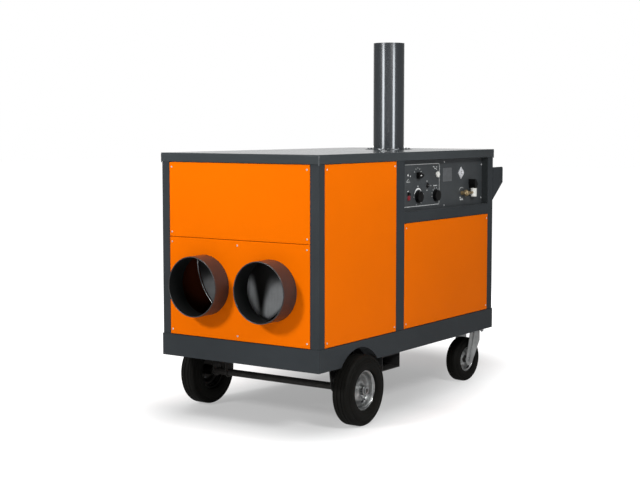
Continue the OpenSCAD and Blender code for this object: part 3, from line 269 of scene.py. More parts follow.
addFinish("tyreRubber", (0.0072, 0.007, 0.006), rough=0.62, roughSpread=0.15, specular=0.15,
          cloudScale=11.0, cloudDepth=0.25, grainScale=420, grainDepth=0.25, bump=0.30, bumpSize=0.0005,
          dust=0.06, dustTop=0.30, dustColor=(0.10, 0.095, 0.085), ior=1.35)
addFinish("blackPlastic", (0.0032, 0.0033, 0.0035), rough=0.42, specular=0.4, cloudScale=40.0,
          cloudDepth=0.15, grainScale=2600, grainDepth=0.10, bump=0.15, bumpSize=0.0002, ior=1.3)
addFinish("whitePlastic", (0.80, 0.80, 0.76), rough=0.28, cloudScale=30.0, cloudDepth=0.04, grainScale=2000,
          bump=0.05, bumpSize=0.0002)
addFinish("greyPlastic", (0.7, 0.71, 0.73), rough=0.32, cloudScale=45.0, cloudDepth=0.10, grainScale=1800,
          grainDepth=0.05, bumpSize=0.0002)
addFinish("redPlastic", (0.22, 0.008, 0.016), rough=0.25, cloudScale=40.0, cloudDepth=0.12, grainScale=1800,
          grainDepth=0.05, bumpSize=0.0002)
addFinish("brassMetal", (0.31, 0.23, 0.12), metal=0.5, rough=0.4, roughSpread=0.15, cloudScale=45.0,
          cloudDepth=0.25, grainDepth=0.2, bump=0.15, bumpSize=0.0003, edge=0.3, edgeColor=(0.6, 0.5, 0.3))
addFinish("legendPrint", (0.56, 0.58, 0.58), rough=0.5, specular=0.3, cloudScale=60.0, cloudDepth=0.15,
          grainScale=2500, grainDepth=0.15, bump=0.05, bumpSize=0.0001)
addFinish("whitePrint", (0.80, 0.81, 0.81), specular=0.3, cloudScale=60.0, cloudDepth=0.05, grainScale=2500,
          grainDepth=0.05, bump=0.05, bumpSize=0.0001)
addFinish("plateMetal", (0.20, 0.21, 0.22), metal=0.6, rough=0.40, roughSpread=0.12, cloudScale=28.0,
          cloudDepth=0.12, grainDepth=0.12, grainStretch=(1.0, 0.05, 1.0), bump=0.08, bumpSize=0.0002)
# Rim faces turned towards the heater's middle take the dark inside tone: painted shade
addFinish("rimZinc", (0.42, 0.43, 0.43), metal=1.0, rough=0.34, roughSpread=0.22, cloudScale=26.0,
          cloudDepth=0.35, grainScale=260, grainDepth=0.18, bump=0.25, bumpSize=0.0005, edge=0.35,
          edgeColor=(0.85, 0.85, 0.86), inside=(0.045, 0.043, 0.04), insideScale=(1.0, 0.0, 0.0),
          insideShift=(0.0, 0.0, 0.0))
# Castor rim faces turned towards the heater's middle take the dark inside tone: painted shade
addFinish("castorZinc", (0.52, 0.53, 0.53), metal=0.5, rough=0.36, roughSpread=0.2, cloudScale=34.0,
          cloudDepth=0.3, grainScale=260, grainDepth=0.15, bump=0.2, edge=0.35,
          edgeColor=(0.85, 0.85, 0.86), inside=(0.045, 0.043, 0.04), insideScale=(1.0, 0.0, 0.0),
          insideShift=(0.0, 0.0, 0.0))
addFinish("screwZinc", (0.74, 0.75, 0.76), metal=0.3, rough=0.28, cloudScale=60.0, cloudDepth=0.12,
          grainDepth=0.1, bumpSize=0.0002)
addFinish("forkZinc", (0.44, 0.45, 0.45), metal=0.7, rough=0.36, roughSpread=0.15, cloudScale=18.0,
          cloudDepth=0.20, grainScale=500, grainDepth=0.15, bump=0.15, bumpSize=0.0003, edge=0.35,
          edgeColor=(0.75, 0.75, 0.76))
# A brighter, glossier copy of the rims' zinc for the curled lips: a painted highlight along the lip
addFinish("lipZincHighlight", (0.62, 0.63, 0.63), metal=1.0, rough=0.20, roughSpread=0.12, cloudScale=30.0,
          cloudDepth=0.25, grainScale=500, grainDepth=0.15, bumpSize=0.0003)
# Lighter than the lid's paint: a painted highlight on the welded corner seams
addFinish("weldHighlightPaint", (0.10, 0.11, 0.12), rough=0.24, cloudScale=90.0, cloudDepth=0.4, grainScale=700,
          grainDepth=0.2, bump=0.3)
# Near-black for the sleeves and the sheet inside the outlets: painted shade
addFinish("innerDark", (0.0085, 0.0092, 0.0092), rough=0.6, specular=0.15, cloudDepth=0.2, grainDepth=0.1)
print("finishes made:", len(finishes))

slotFinish = {
    "frame_paint": "framePaint", "panel_paint": "panelPaint", "under_paint": "underPaint",
    "outlet_paint": "outletEnamel", "flue_paint": "fluePaint", "zinc": "zincPlate",
    "steel_sheet": "drumSheet", "motor_paint": "motorPaint", "burner_paint": "burnerPaint",
    "tyre": "tyreRubber", "black_plastic": "blackPlastic", "white_plastic": "whitePlastic",
    "grey_plastic": "greyPlastic", "brass": "brassMetal",
}
nodeFinish = {"castor_fork_left": "forkZinc", "castor_fork_right": "forkZinc", "toggle_lever": "forkZinc",
              "panel_screws": "screwZinc", "lid": "lidPaint", "flue_flange": "fluePaint",
              "control_tray": "trayPaint"}
for part in frame["record"]["subparts"]:
    name = part["node"]
    finish = finishes[nodeFinish.get(name, slotFinish[part["material_slot"]])]
    for place in cad[name].material_slots:
        place.material = finish
print("CAD nodes painted")


# Mesh tools
def around(center, radius, angle):
    a = math.radians(angle)
    return center[0] + radius * math.cos(a), center[1] + radius * math.sin(a)


def circlePoints(radius, steps, center=(0.0, 0.0)):
    return [around(center, radius, 360 * i / steps) for i in range(steps)]


def arcPoints(center, radius, start, end, steps=24):
    return [around(center, radius, start + (end - start) * i / steps) for i in range(steps + 1)]


def addBlock(bm, low, high):
    for v in bmesh.ops.create_cube(bm, size=1.0)["verts"]:
        v.co = Vector(((low[i] + high[i]) / 2 + v.co[i] * (high[i] - low[i]) for i in range(3)))


def addPrism(bm, outline, matrix, depth):
    bottom = [bm.verts.new(matrix @ Vector((x, y, 0.0))) for x, y in outline]
    top = [bm.verts.new(matrix @ Vector((x, y, depth))) for x, y in outline]
    bm.faces.new(list(reversed(bottom)))
    bm.faces.new(top)
    count = len(outline)
    for i in range(count):
        j = (i + 1) % count
        bm.faces.new((bottom[i], bottom[j], top[j], top[i]))


# A closed profile of (radius, height) pairs turned about the matrix's own Z
def addLathe(bm, profile, matrix, steps=48, closed=False):
    rings = []
    for radius, height in profile:
        spots = circlePoints(radius, steps) if radius else [(0.0, 0.0)]
        rings.append([bm.verts.new(matrix @ Vector((*spot, height))) for spot in spots])
    pairs = list(zip(rings, rings[1:])) + ([(rings[-1], rings[0])] if closed else [])
    for low, high in pairs:
        for i in range(steps):
            j = (i + 1) % steps
            if len(low) == 1 and len(high) == 1:
                continue
            if len(low) == 1:
                bm.faces.new((low[0], high[i], high[j]))
            elif len(high) == 1:
                bm.faces.new((low[i], high[0], low[j]))
            else:
                bm.faces.new((low[i], high[i], high[j], low[j]))


# Frames for things that stand on a face: Z of the frame points out of the tray, or into the front
trayFace = 0.5


def onTray(y, z, lift=0.0):
    return Matrix(((0, 0, 1, trayFace + lift), (1, 0, 0, y), (0, 1, 0, z), (0, 0, 0, 1)))


def intoFront(x, y, z):
    return Matrix(((1, 0, 0, x), (0, 0, 1, y), (0, 1, 0, z), (0, 0, 0, 1)))


def makePiece(name, bm, finish, body, smooth=None, bevel=None):
    bmesh.ops.recalc_face_normals(bm, faces=bm.faces[:])
    mesh = bpy.data.meshes.new(name)
    bm.to_mesh(mesh)
    bm.free()
    mesh.materials.append(finishes[finish])
    if smooth is not None:
        for face in mesh.polygons:
            face.use_smooth = True
        mesh.set_sharp_from_angle(angle=math.radians(smooth))
    piece = bpy.data.objects.new(name, mesh)
    scene.collection.objects.link(piece)
    if bevel:
        rounding = piece.modifiers.new("rounding", "BEVEL")
        rounding.width = bevel
        rounding.segments = 2
        rounding.limit_method = "ANGLE"
        rounding.angle_limit = math.radians(40)
    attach(piece, body)
    return piece


# Printed legend on the control plate
legend = {"lift": 0.00025, "line": 0.0042, "corner": 0.014, "left": alongY(912), "right": alongY(1374),
          "low": upZ(838), "high": upZ(1087)}
places = {"selector": (alongY(1113), upZ(1021)), "roomDial": (alongY(1117), upZ(893)),
          "heatDial": (alongY(1329), upZ(893)), "toggle": (alongY(1228), upZ(957)),
          "rocker": (alongY(1003), upZ(899)), "reset": (alongY(1343), upZ(1021)),
          "socket": (alongY(1648), upZ(1021)), "fuel": (alongY(1661), upZ(893))}


# A flat strip of even or changing width along points in the plate's plane
def addStrip(bm, points, widths, closed=False):
    count = len(points)
    if not hasattr(widths, "__len__"):
        widths = [widths] * count
    sides = []
    for i, (y, z) in enumerate(points):
        if closed:
            before, after = points[i - 1], points[(i + 1) % count]
        else:
            before, after = points[max(i - 1, 0)], points[min(i + 1, count - 1)]
        run = Vector((after[0] - before[0], after[1] - before[1])).normalized()
        across = Vector((-run.y, run.x)) * widths[i] / 2
        sides.append(((y + across.x, z + across.y), (y - across.x, z - across.y)))
    lifts = (trayFace, trayFace + legend["lift"])
    rows = [[bm.verts.new((x, *spot)) for spot in pair for x in lifts] for pair in sides]
    spans = list(zip(rows, rows[1:])) + ([(rows[-1], rows[0])] if closed else [])
    for a, b in spans:
        for i, j in ((0, 1), (1, 3), (3, 2), (2, 0)):
            bm.faces.new((a[i], a[j], b[j], b[i]))
    if not closed:
        for row in (rows[0], rows[-1]):
            bm.faces.new((row[0], row[1], row[3], row[2]))


def roundedBox(left, low, right, high, corner, steps=6):
    made = []
    for cy, cz, start in ((right - corner, high - corner, 0), (left + corner, high - corner, 90),
                          (left + corner, low + corner, 180), (right - corner, low + corner, 270)):
        made += arcPoints((cy, cz), corner, start, start + 90, steps)
    return made


bm = bmesh.new()
addStrip(bm, roundedBox(legend["left"], legend["low"], legend["right"], legend["high"], legend["corner"]),
         legend["line"], closed=True)
makePiece("controlBorder", bm, "legendPrint", "frame")

# Ticks are (control, radius, length, angles, width), lines a width with their (y, z) points in mm,
# and dots (y, z, radius)
marks = {
    "ticks": (("selector", 0.040, 0.008, (30, 60, 90, 120, 150), 0.0052),
              ("roomDial", 0.047, 0.008, (-114, -47, 180), 0.004),
              ("roomDial", 0.062, 0.009, (13,), 0.004),
              ("heatDial", 0.042, 0.008, range(-30, 211, 27), 0.0042)),
    "lines": ((0.006, (1108, 956), (1122, 956)),
              (0.005, (1216, 928), (1229, 928)), (0.005, (1216, 984), (1229, 984)),
              (0.006, (1301, 953), (1345, 953)),
              (0.005, (1296, 1070), (1312, 1066)), (0.005, (1312, 1060), (1332, 1055)),
              (0.005, (1334, 1067), (1344, 1064.5)), (0.005, (1330, 1054), (1344, 1050.5)),
              (0.0042, (979, 985), (1003, 1002), (1023, 985), (979, 985)),
              (0.007, (1634, 866), (1652, 866)), (0.010, (1638, 853), (1680, 853))),
    "fuelArc": {"radius": 0.036, "start": 55, "end": 150, "width": 0.0036},
    "dots": ((999, 1026, 0.0065), (1026, 1019, 0.0045), (1000, 930, 0.0045)),
}
crescent = {"radius": 0.046, "grow": 0.004, "start": 162, "sweep": 126, "steps": 30, "thin": 0.0012,
            "thick": 0.0105, "taper": 1.3}
bm = bmesh.new()
for control, radius, length, angles, width in marks["ticks"]:
    for angle in angles:
        addStrip(bm, [around(places[control], r, angle) for r in (radius, radius + length)], width)
for width, *points in marks["lines"]:
    addStrip(bm, [(alongY(y), upZ(z)) for y, z in points], width)
arc = marks["fuelArc"]
addStrip(bm, arcPoints(places["fuel"], arc["radius"], arc["start"], arc["end"]), arc["width"])
makePiece("controlMarks", bm, "legendPrint", "frame")

bm = bmesh.new()
for y, z, radius in marks["dots"]:
    addPrism(bm, circlePoints(radius, 16), onTray(alongY(y), upZ(z)), legend["lift"])
c = crescent
shares = [i / c["steps"] for i in range(c["steps"] + 1)]
addStrip(bm, [around(places["roomDial"], c["radius"] + c["grow"] * share, c["start"] - c["sweep"] * share)
              for share in shares],
         [c["thin"] + c["thick"] * math.sin(math.pi * share) ** c["taper"] for share in shares])
makePiece("controlWhiteMarks", bm, "whitePrint", "frame")
print("control legend printed")

# Bare plate with rivets
barePlate = {"left": alongY(1418), "right": alongY(1531), "low": upZ(973), "high": upZ(1057),
             "corner": 0.006, "depth": 0.0008, "rivet": 0.0022, "inset": 0.007}
bm = bmesh.new()
addPrism(bm, roundedBox(barePlate["left"], barePlate["low"], barePlate["right"], barePlate["high"],
                        barePlate["corner"]), onTray(0, 0), barePlate["depth"])
for y in (barePlate["left"] + barePlate["inset"], barePlate["right"] - barePlate["inset"]):
    for z in (barePlate["low"] + barePlate["inset"], barePlate["high"] - barePlate["inset"]):
        r = barePlate["rivet"]
        addLathe(bm, [(0, 0), (r, 0), (r, 0.0008), (r * 0.7, 0.0014), (0, 0.0016)],
                 onTray(y, z, barePlate["depth"] / 2), 12)
makePiece("barePlate", bm, "plateMetal", "frame")

# Rubber boot round the toggle, insert of the socket and marker of the selector
boot = [(0.015, 0.0), (0.015, 0.0018), (0.0135, 0.0035), (0.0104, 0.0070), (0.0084, 0.0087),
        (0.0078, 0.0096), (0.0066, 0.0096), (0.0054, 0.0)]
bm = bmesh.new()
addLathe(bm, boot, onTray(*places["toggle"]), 32, closed=True)
makePiece("toggleBoot", bm, "blackPlastic", "frame", smooth=35)

socketInsert = {"radius": 0.0158, "front": 0.0062, "back": 0.0022, "hole": 0.0028, "ring": 0.0075,
                "screw": 0.0022, "screwAt": 0.027, "screwFoot": 0.004}
bm = bmesh.new()
u = socketInsert
addLathe(bm, [(0, u["back"]), (u["radius"], u["back"]), (u["radius"], u["front"]), (0, u["front"])],
         onTray(*places["socket"]), 32)
makePiece("socketInsert", bm, "greyPlastic", "frame", smooth=35)
# The socket's pin holes as thin black discs, painted shade in the holes, and two black screw heads
bm = bmesh.new()
for angle in (90, 210, 330):
    addLathe(bm, [(0, u["front"]), (u["hole"], u["front"]), (u["hole"], u["front"] + 0.0002),
                  (0, u["front"] + 0.0002)], onTray(*around(places["socket"], u["ring"], angle)), 16)
for angle in (0, 180):
    foot = u["screwFoot"]
    addLathe(bm, [(0, foot), (u["screw"], foot), (u["screw"], foot + 0.0006), (0, foot + 0.0008)],
             onTray(*around(places["socket"], u["screwAt"], angle)), 12)
makePiece("socketHoles", bm, "blackPlastic", "frame", smooth=35)

marker = {"from": -0.003, "to": 0.013, "width": 0.0062, "face": 0.0216}
bm = bmesh.new()
y, z = places["selector"]
addBlock(bm, (trayFace + marker["face"] - 0.0006, y + marker["from"], z - marker["width"] / 2),
         (trayFace + marker["face"] + 0.0003, y + marker["to"], z + marker["width"] / 2))
makePiece("selectorMarker", bm, "whitePrint", "selector", bevel=0.0002)

# Rocker in two colours with its dished face
rocker = {"half": 0.0127, "reach": 0.021, "front": 0.009, "back": -0.005, "dishAt": 0.067, "dish": 0.060,
          "tip": math.radians(6), "split": 0.006}


def rockerFace(v):
    return min(rocker["front"], rocker["dishAt"] - math.sqrt(rocker["dish"] ** 2 - v ** 2))


def addRocker(bm, low, high, steps=10):
    rows = [low + (high - low) * i / steps for i in range(steps + 1)]
    outline = [(rockerFace(v), v) for v in rows] + [(rocker["back"], high), (rocker["back"], low)]
    c, t = math.cos(rocker["tip"]), math.sin(rocker["tip"])
    turned = [(u * c + v * t, v * c - u * t) for u, v in outline]
    sideways = Matrix(((0, 0, 1, -rocker["half"]), (0, 1, 0, 0), (1, 0, 0, 0), (0, 0, 0, 1)))
    place = onTray(*places["rocker"]) @ sideways
    addPrism(bm, turned, place, 2 * rocker["half"])


bm = bmesh.new()
addRocker(bm, rocker["split"], rocker["reach"])
top = makePiece("rockerUpper", bm, "blackPlastic", "rocker", smooth=30, bevel=0.0005)
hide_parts("rocker_switch")
bm = bmesh.new()
addRocker(bm, -rocker["reach"], rocker["split"])
makePiece("rockerLower", bm, "redPlastic", "rocker", smooth=30, bevel=0.0005)
print("controls dressed")

# Cross recesses of the panel and tray screws, as thin black crosses on the heads: painted shade in the
# recesses
recess = {"long": 0.0054, "wide": 0.0012, "deep": 0.00015, "head": 0.003,
          "front": alongY(3.5), "rear": alongY(2006.5), "side": 0.5465}
columns, rows = (-0.470, 0.470), (upZ(154.5), upZ(1085.5))
seamRows = (upZ(715.75), upZ(659.25))  # either side of the joint between the front panels
spotsFront = [(x, z) for x in columns for z in (*rows, *seamRows)] + [(0.0, rows[0]), (0.0, seamRows[1])]
spotsRear = [(x, z) for x in columns for z in rows] + [(0.0, rows[0])]
spotsSide = [(alongY(y), z) for y in (80, 775) for z in rows]
spotsLeft = [(alongY(y), z) for y in (905, 1915) for z in rows]
spotsRight = [(alongY(y), upZ(z)) for y in (905, 1915) for z in (154.5, 720.5)]
spotsTray = [(alongY(y), upZ(z)) for y, z in ((1435, 827), (1435, 1095), (1924, 853), (1924, 1066))]
bm = bmesh.new()


def addRecess(axis, face, side, a, b):
    for long, wide in ((recess["long"], recess["wide"]), (recess["wide"], recess["long"])):
        center, half = [0.0] * 3, [0.0] * 3
        others = [i for i in range(3) if i != axis]
        center[axis], half[axis] = face + side * recess["head"], recess["deep"]
        center[others[0]], half[others[0]] = a, long / 2
        center[others[1]], half[others[1]] = b, wide / 2
        addBlock(bm, [c - h for c, h in zip(center, half)], [c + h for c, h in zip(center, half)])


for axis, face, side, spots in ((1, recess["front"], -1, spotsFront), (1, recess["rear"], 1, spotsRear),
                                (0, recess["side"], 1, spotsSide + spotsRight),
                                (0, -recess["side"], -1, spotsSide + spotsLeft), (0, trayFace, 1, spotsTray)):
    for a, b in spots:
        addRecess(axis, face, side, a, b)
makePiece("screwRecesses", bm, "blackPlastic", "frame")
print("screws recessed")


# Wheels: Z of the frame points out of the wheel, and turn swivels it
def onAxle(x, y, z, side, turn=0.0):
    aim = Matrix(((0, 0, side, 0), (side, 0, 0, 0), (0, 1, 0, 0), (0, 0, 0, 1)))
    return Matrix.Translation((x, y, z)) @ Matrix.Rotation(math.radians(turn), 4, "Z") @ aim


wheelSizes = {"front": {"radius": 0.200, "width": 0.115, "seat": 0.1016, "bead": 0.032, "lip": 0.008,
                        "hub": 0.027, "hubHalf": 0.046, "bore": 0.0126, "grooves": (0.012, 0.033),
                        "side": 0.425, "corner": 0.14, "finish": "rimZinc"},
              "castor": {"radius": 0.143, "width": 0.088, "seat": 0.072, "bead": 0.02376, "lip": 0.005,
                         "hub": 0.022, "hubHalf": 0.050, "bore": 0.00605, "grooves": (0.009,),
                         "side": 0.41, "corner": 0.16, "finish": "castorZinc"}}
treadDetail = {"grooveHalf": 0.0021, "grooveDepth": 0.0045, "rib": 0.0009, "ribs": (112, 82, 66),
               "sideGroove": 0.0018}
rimDetail = {"sheet": 0.0030, "curl": 0.0025, "ring": 0.0031,
             "dish": ((0.03, 0.50), (0.08, 0.44), (0.25, 0.42), (0.42, 0.38), (0.54, 0.20), (0.66, 0.03),
                      (0.80, -0.03), (0.89, 0.03), (0.935, 0.16), (0.955, 0.42), (0.962, 0.74))}


# Half of the tyre's outline, from the bead over the sidewall to the tread's middle
def tyreHalf(w):
    d = treadDetail
    carcass = w["width"] / 2
    mid = w["radius"] - carcass
    side = w["width"] * w["side"]
    foot = w["seat"] + w["lip"] + rimDetail["curl"] + 0.0008
    half = [(w["seat"] + 0.0002, w["bead"] - 0.0008), (foot, w["bead"] + 0.0008)]
    start = math.degrees(math.acos(max((foot - mid) / carcass, -0.99))) - 2
    end = math.degrees(math.asin(side / carcass))
    half.append((foot + 0.0004, carcass * math.sin(math.radians(start)) - 0.004))
    plainAngles = {start - (start - end) * i / 18 for i in range(19)}
    ribAngles = {rib + step for rib in d["ribs"] if rib < start - 3 for step in (-2, -1.2, 1.2, 2)}
    for a in sorted(plainAngles | ribAngles, reverse=True):
        proud = d["rib"] if any(abs(a - rib) < 1.5 for rib in d["ribs"]) else 0.0
        r = carcass + proud
        half.append((mid + r * math.cos(math.radians(a)), min(r * math.sin(math.radians(a)), carcass)))
    corner, cut = w["width"] * w["corner"], d["sideGroove"]
    edge = w["radius"] - corner
    last = half[-1][0]
    groove = last + (edge - last) * 0.45
    half += [(groove - cut, side), (groove, side - cut), (groove + cut, side)]
    for i in range(6):
        a = math.radians(90 - 18 * i)
        half.append((edge + corner * math.cos(a), side - corner + corner * math.sin(a)))
    for g in sorted(w["grooves"], reverse=True):
        h, deep = d["grooveHalf"], w["radius"] - d["grooveDepth"]
        half += [(w["radius"], g + h), (deep, g + h * 0.7), (deep, g - h * 0.7), (w["radius"], g - h)]
    return half


def tyreOutline(w):
    half = tyreHalf(w)
    return half + [(r, -h) for r, h in reversed(half)]


# The rim's closed outline: hub, dished disc, barrel and a curled lip on each side
def rimOutline(w):
    d = rimDetail
    hub, seat, b, t, c = w["hub"], w["seat"], w["bead"], d["sheet"], d["curl"]
    top = seat + w["lip"]
    face = [(hub + (seat - hub) * f, b * k) for f, k in d["dish"]]
    lip = [(seat - t * 0.6, b * 0.90), (seat + 0.0008, b + 0.0004), (top - 0.003, b + c * 0.6),
           (top - 0.001, b + c * 1.5), (top + c * 0.3, b + c * 1.98), (top + c * 0.9, b + c * 1.5),
           (top + c, b + c * 0.8), (top + c * 0.4, b + c * 0.1), (top - 0.003, b - 0.0006),
           (seat + 0.0006, b * 0.86), (seat - 0.0002, b * 0.72)]
    back = [(seat - t, -b * 0.72), (seat - t, -b * 0.12), (hub + (seat - hub) * 0.88, -t * 1.05)]
    back += [(hub + (seat - hub) * f, b * k - t) for f, k in reversed(d["dish"][1:8])]
    outline = [(w["bore"], w["hubHalf"]), (hub - 0.003, w["hubHalf"]), (hub - 0.0006, w["hubHalf"] - 0.001),
               (hub, w["hubHalf"] - 0.004), (hub, b * 0.56)]
    outline += face + lip + [(r, -h) for r, h in reversed(lip)] + back
    return outline + [(hub, -w["hubHalf"]), (w["bore"], -w["hubHalf"])]


# The valve's stem and cap, and a black disc below and beside it: the painted shadow of the stem on the rim
valve = {"at": (0.012, -0.047), "lean": 18, "foot": -0.004, "stem": 0.0048, "cap": 0.0060, "long": 0.030,
         "hole": 0.0105, "valveShadowAt": (0.036, -0.070), "valveShadowTop": 0.0030}


def dressWheel(kind, name, frameMatrix, body, nodes):
    w = wheelSizes[kind]
    bm = bmesh.new()
    addLathe(bm, tyreOutline(w), frameMatrix, 128, closed=True)
    tyre = makePiece(name + "Tyre", bm, "tyreRubber", body, smooth=28)
    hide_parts(nodes[0])
    bm = bmesh.new()
    addLathe(bm, rimOutline(w), frameMatrix, 96, closed=True)
    rim = makePiece(name + "Rim", bm, w["finish"], body, smooth=32)
    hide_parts(nodes[1])
    bm = bmesh.new()
    # The curled lip ring takes the brighter zinc: a painted highlight
    curl = rimDetail["curl"]
    at = (w["seat"] + w["lip"] + curl * 0.35, w["bead"] + curl * 1.15)
    ring = rimDetail["ring"] * w["lip"] / wheelSizes["front"]["lip"]
    addLathe(bm, circlePoints(ring, 12, at), frameMatrix, 96, closed=True)
    makePiece(name + "Lip", bm, "lipZincHighlight", body, smooth=70)
    if kind == "front":
        v, low = valve, valve["foot"]
        bm = bmesh.new()
        stem = (frameMatrix @ Matrix.Translation((*v["at"], w["bead"] * 0.40))
                @ Matrix.Rotation(math.radians(v["lean"]), 4, "X"))
        r, cap, long = v["stem"], v["cap"], v["long"]
        addLathe(bm, [(0, low), (r * 1.8, low), (r * 1.6, 0.002), (r, 0.005), (r, long * 0.6),
                      (cap, long * 0.62), (cap, long * 0.95), (cap * 0.7, long), (0, long)], stem, 20)
        makePiece(name + "Valve", bm, "zincPlate", body, smooth=35)
        # Black disc beside the valve: painted shadow of the stem
        bm = bmesh.new()
        spot = frameMatrix @ Matrix.Translation((*v["valveShadowAt"], 0.0))
        addLathe(bm, [(0, low), (v["hole"], low), (v["hole"], v["valveShadowTop"]),
                      (v["hole"] * 0.8, v["valveShadowTop"] + 0.0006), (0, v["valveShadowTop"] + 0.0002)], spot, 24)
        makePiece(name + "ValveShadow", bm, "blackPlastic", body, smooth=35)


frontWheel = (0.542, alongY(400), 0.200)
castor = {"x": 0.407, "y": alongY(1940), "turn": 6.5, "trail": 0.0595, "legOut": 0.0554, "axleZ": 0.143}


# A castor's frame on its kingpin, swivelled as at rest
def castorFrame(side, z):
    return (Matrix.Translation((side * castor["x"], castor["y"], z))
            @ Matrix.Rotation(math.radians(-side * castor["turn"]), 4, "Z"))


for side, word in ((-1, "left"), (1, "right")):
    x, y, z = frontWheel
    dressWheel("front", word + "Wheel", onAxle(side * x, y, z, side), "wheel_" + word,
               ("wheel_tyre_" + word, "wheel_rim_" + word))
    wheelAt = castorFrame(side, castor["axleZ"]) @ Vector((0.0, -castor["trail"], 0.0))
    dressWheel("castor", word + "Castor", onAxle(*wheelAt, side, -side * castor["turn"]),
               "castor_wheel_" + word, ("castor_tyre_" + word, "castor_rim_" + word))
print("wheels dressed")

# Castor forks: pressed ribs and washers on the legs, bearing cups and the bolts of the top plates
ribs = {"top": (-0.004, -0.030, 0.010), "foot": (-0.0550, -0.186, 0.0055), "high": 0.0058, "steps": 8}
washer = [(0.0062, 0.0), (0.0155, 0.0), (0.0155, 0.0021), (0.01395, 0.003), (0.0062, 0.003)]
bearingCup = [(0.0355, -0.010), (0.0405, -0.011), (0.0415, -0.0145), (0.0415, -0.0195), (0.040, -0.022),
              (0.0355, -0.0235)]
plate = {"x": 0.076, "y": 0.050, "bolt": 0.0055, "nut": 0.0125, "nutHigh": 0.011, "end": -0.037,
         "under": -0.008, "nutAt": -0.020}


# A half round ridge between two (y, z, half width) ends, closed at its back
def addRidge(bm, leg, ends, high):
    loops = []
    for y, z, half in ends:
        turns = [math.pi * i / ribs["steps"] for i in range(ribs["steps"] + 1)]
        points = [(y - half * math.cos(a), z, high * math.sin(a)) for a in turns]
        loops.append([bm.verts.new(leg @ Vector(point)) for point in points])
    first, last = loops
    for i in range(len(first)):
        j = (i + 1) % len(first)
        bm.faces.new((first[i], first[j], last[j], last[i]))
    bm.faces.new(list(reversed(first)))
    bm.faces.new(last)


for side, word in ((-1, "left"), (1, "right")):
    swivel = castorFrame(side, groundGap)
    ribBm, washerBm = bmesh.new(), bmesh.new()
    for out in (-1, 1):
        leg = swivel @ Matrix(((0, 0, out, out * castor["legOut"]), (1, 0, 0, 0), (0, 1, 0, 0), (0, 0, 0, 1)))
        addRidge(ribBm, leg, (ribs["top"], ribs["foot"]), ribs["high"])
        axle = leg @ Matrix.Translation((-castor["trail"], castor["axleZ"] - groundGap, 0.0))
        addLathe(washerBm, washer, axle, 32, closed=True)
    makePiece(word + "ForkRibs", ribBm, "rimZinc", "castor_" + word, smooth=50)
    makePiece(word + "ForkWashers", washerBm, "zincPlate", "castor_" + word, smooth=35)
    bm = bmesh.new()
    flat = Matrix.Translation((side * castor["x"], castor["y"], groundGap))
    bolt, end, under = plate["bolt"], plate["end"], plate["under"]
    boltProfile = [(0, end), (bolt * 0.8, end), (bolt, end + 0.001), (bolt, under), (0, under)]
    for x in (-plate["x"], plate["x"]):
        for y in (-plate["y"], plate["y"]):
            spot = flat @ Matrix.Translation((x, y, 0.0))
            addLathe(bm, boltProfile, spot, 16)
            for top, foot, r, sides in ((plate["nutAt"], plate["nutAt"] - plate["nutHigh"], plate["nut"], 6),
                                        (under, plate["nutAt"], plate["nut"] * 1.15, 24)):
                profile = [(0, foot), (r * 0.93, foot), (r, foot + 0.001), (r, top), (0, top)]
                addLathe(bm, profile, spot, sides)
    addLathe(bm, bearingCup, flat, 48, closed=True)
    makePiece(word + "CastorBolts", bm, "zincPlate", "frame", smooth=32)
print("castors dressed")

# Bright seam round the drum's head, and painted light and shade on the head behind each outlet: lit lobes
# either side of a dark wedge that opens upwards, darker towards the top
seam = {"radius": 0.3512, "y": alongY(82), "z": upZ(567), "size": 0.0035}
bm = bmesh.new()
addLathe(bm, circlePoints(seam["size"], 8, (seam["radius"], 0.0)), intoFront(0.0, seam["y"], seam["z"]), 160,
         closed=True)
makePiece("drumSeam", bm, "zincPlate", "frame", smooth=60)
drumLight = {"x": 0.105, "low": upZ(262), "spread": 0.23, "soft": 0.030, "fadeLow": upZ(420),
         "fadeHigh": upZ(510), "dark": (0.006, 0.005, 0.005), "width": 0.7,
         "shades": [(0.0, 0.09), (0.30, 0.14), (0.42, 0.5), (0.50, 1.0), (0.62, 1.0), (0.72, 0.31),
                    (0.90, 0.26)]}
tree = finishes["drumSheet"].node_tree
skin = [node for node in tree.nodes if node.type == "BSDF_PRINCIPLED"][0]
plain = skin.inputs["Base Color"].links[0].from_socket
spot = splitVector(tree, "ShaderNodeNewGeometry", "Position")
# Painted light and shade: the dark wedge, darker towards the top, and the lit lobes' levels across X
aside = calc(tree, "SUBTRACT", calc(tree, "ABSOLUTE", spot["X"]), drumLight["x"])
rise = calc(tree, "MAXIMUM", calc(tree, "SUBTRACT", spot["Z"], drumLight["low"]), 0.0)
wedge = calc(tree, "SUBTRACT", calc(tree, "ABSOLUTE", aside), calc(tree, "MULTIPLY", rise, drumLight["spread"]))
litShare = calc(tree, "MULTIPLY", smoothRise(tree, wedge, -drumLight["soft"] / 2, drumLight["soft"]),
             smoothRise(tree, spot["Z"], drumLight["fadeHigh"], drumLight["fadeLow"]))
place = calc(tree, "ADD", calc(tree, "DIVIDE", spot["X"], drumLight["width"]), 0.5)
litShare = calc(tree, "MULTIPLY", litShare, ramp(tree, place, drumLight["shades"]))
link(tree, mixColors(tree, litShare, drumLight["dark"], plain), skin.inputs["Base Color"])
print("drum finished")

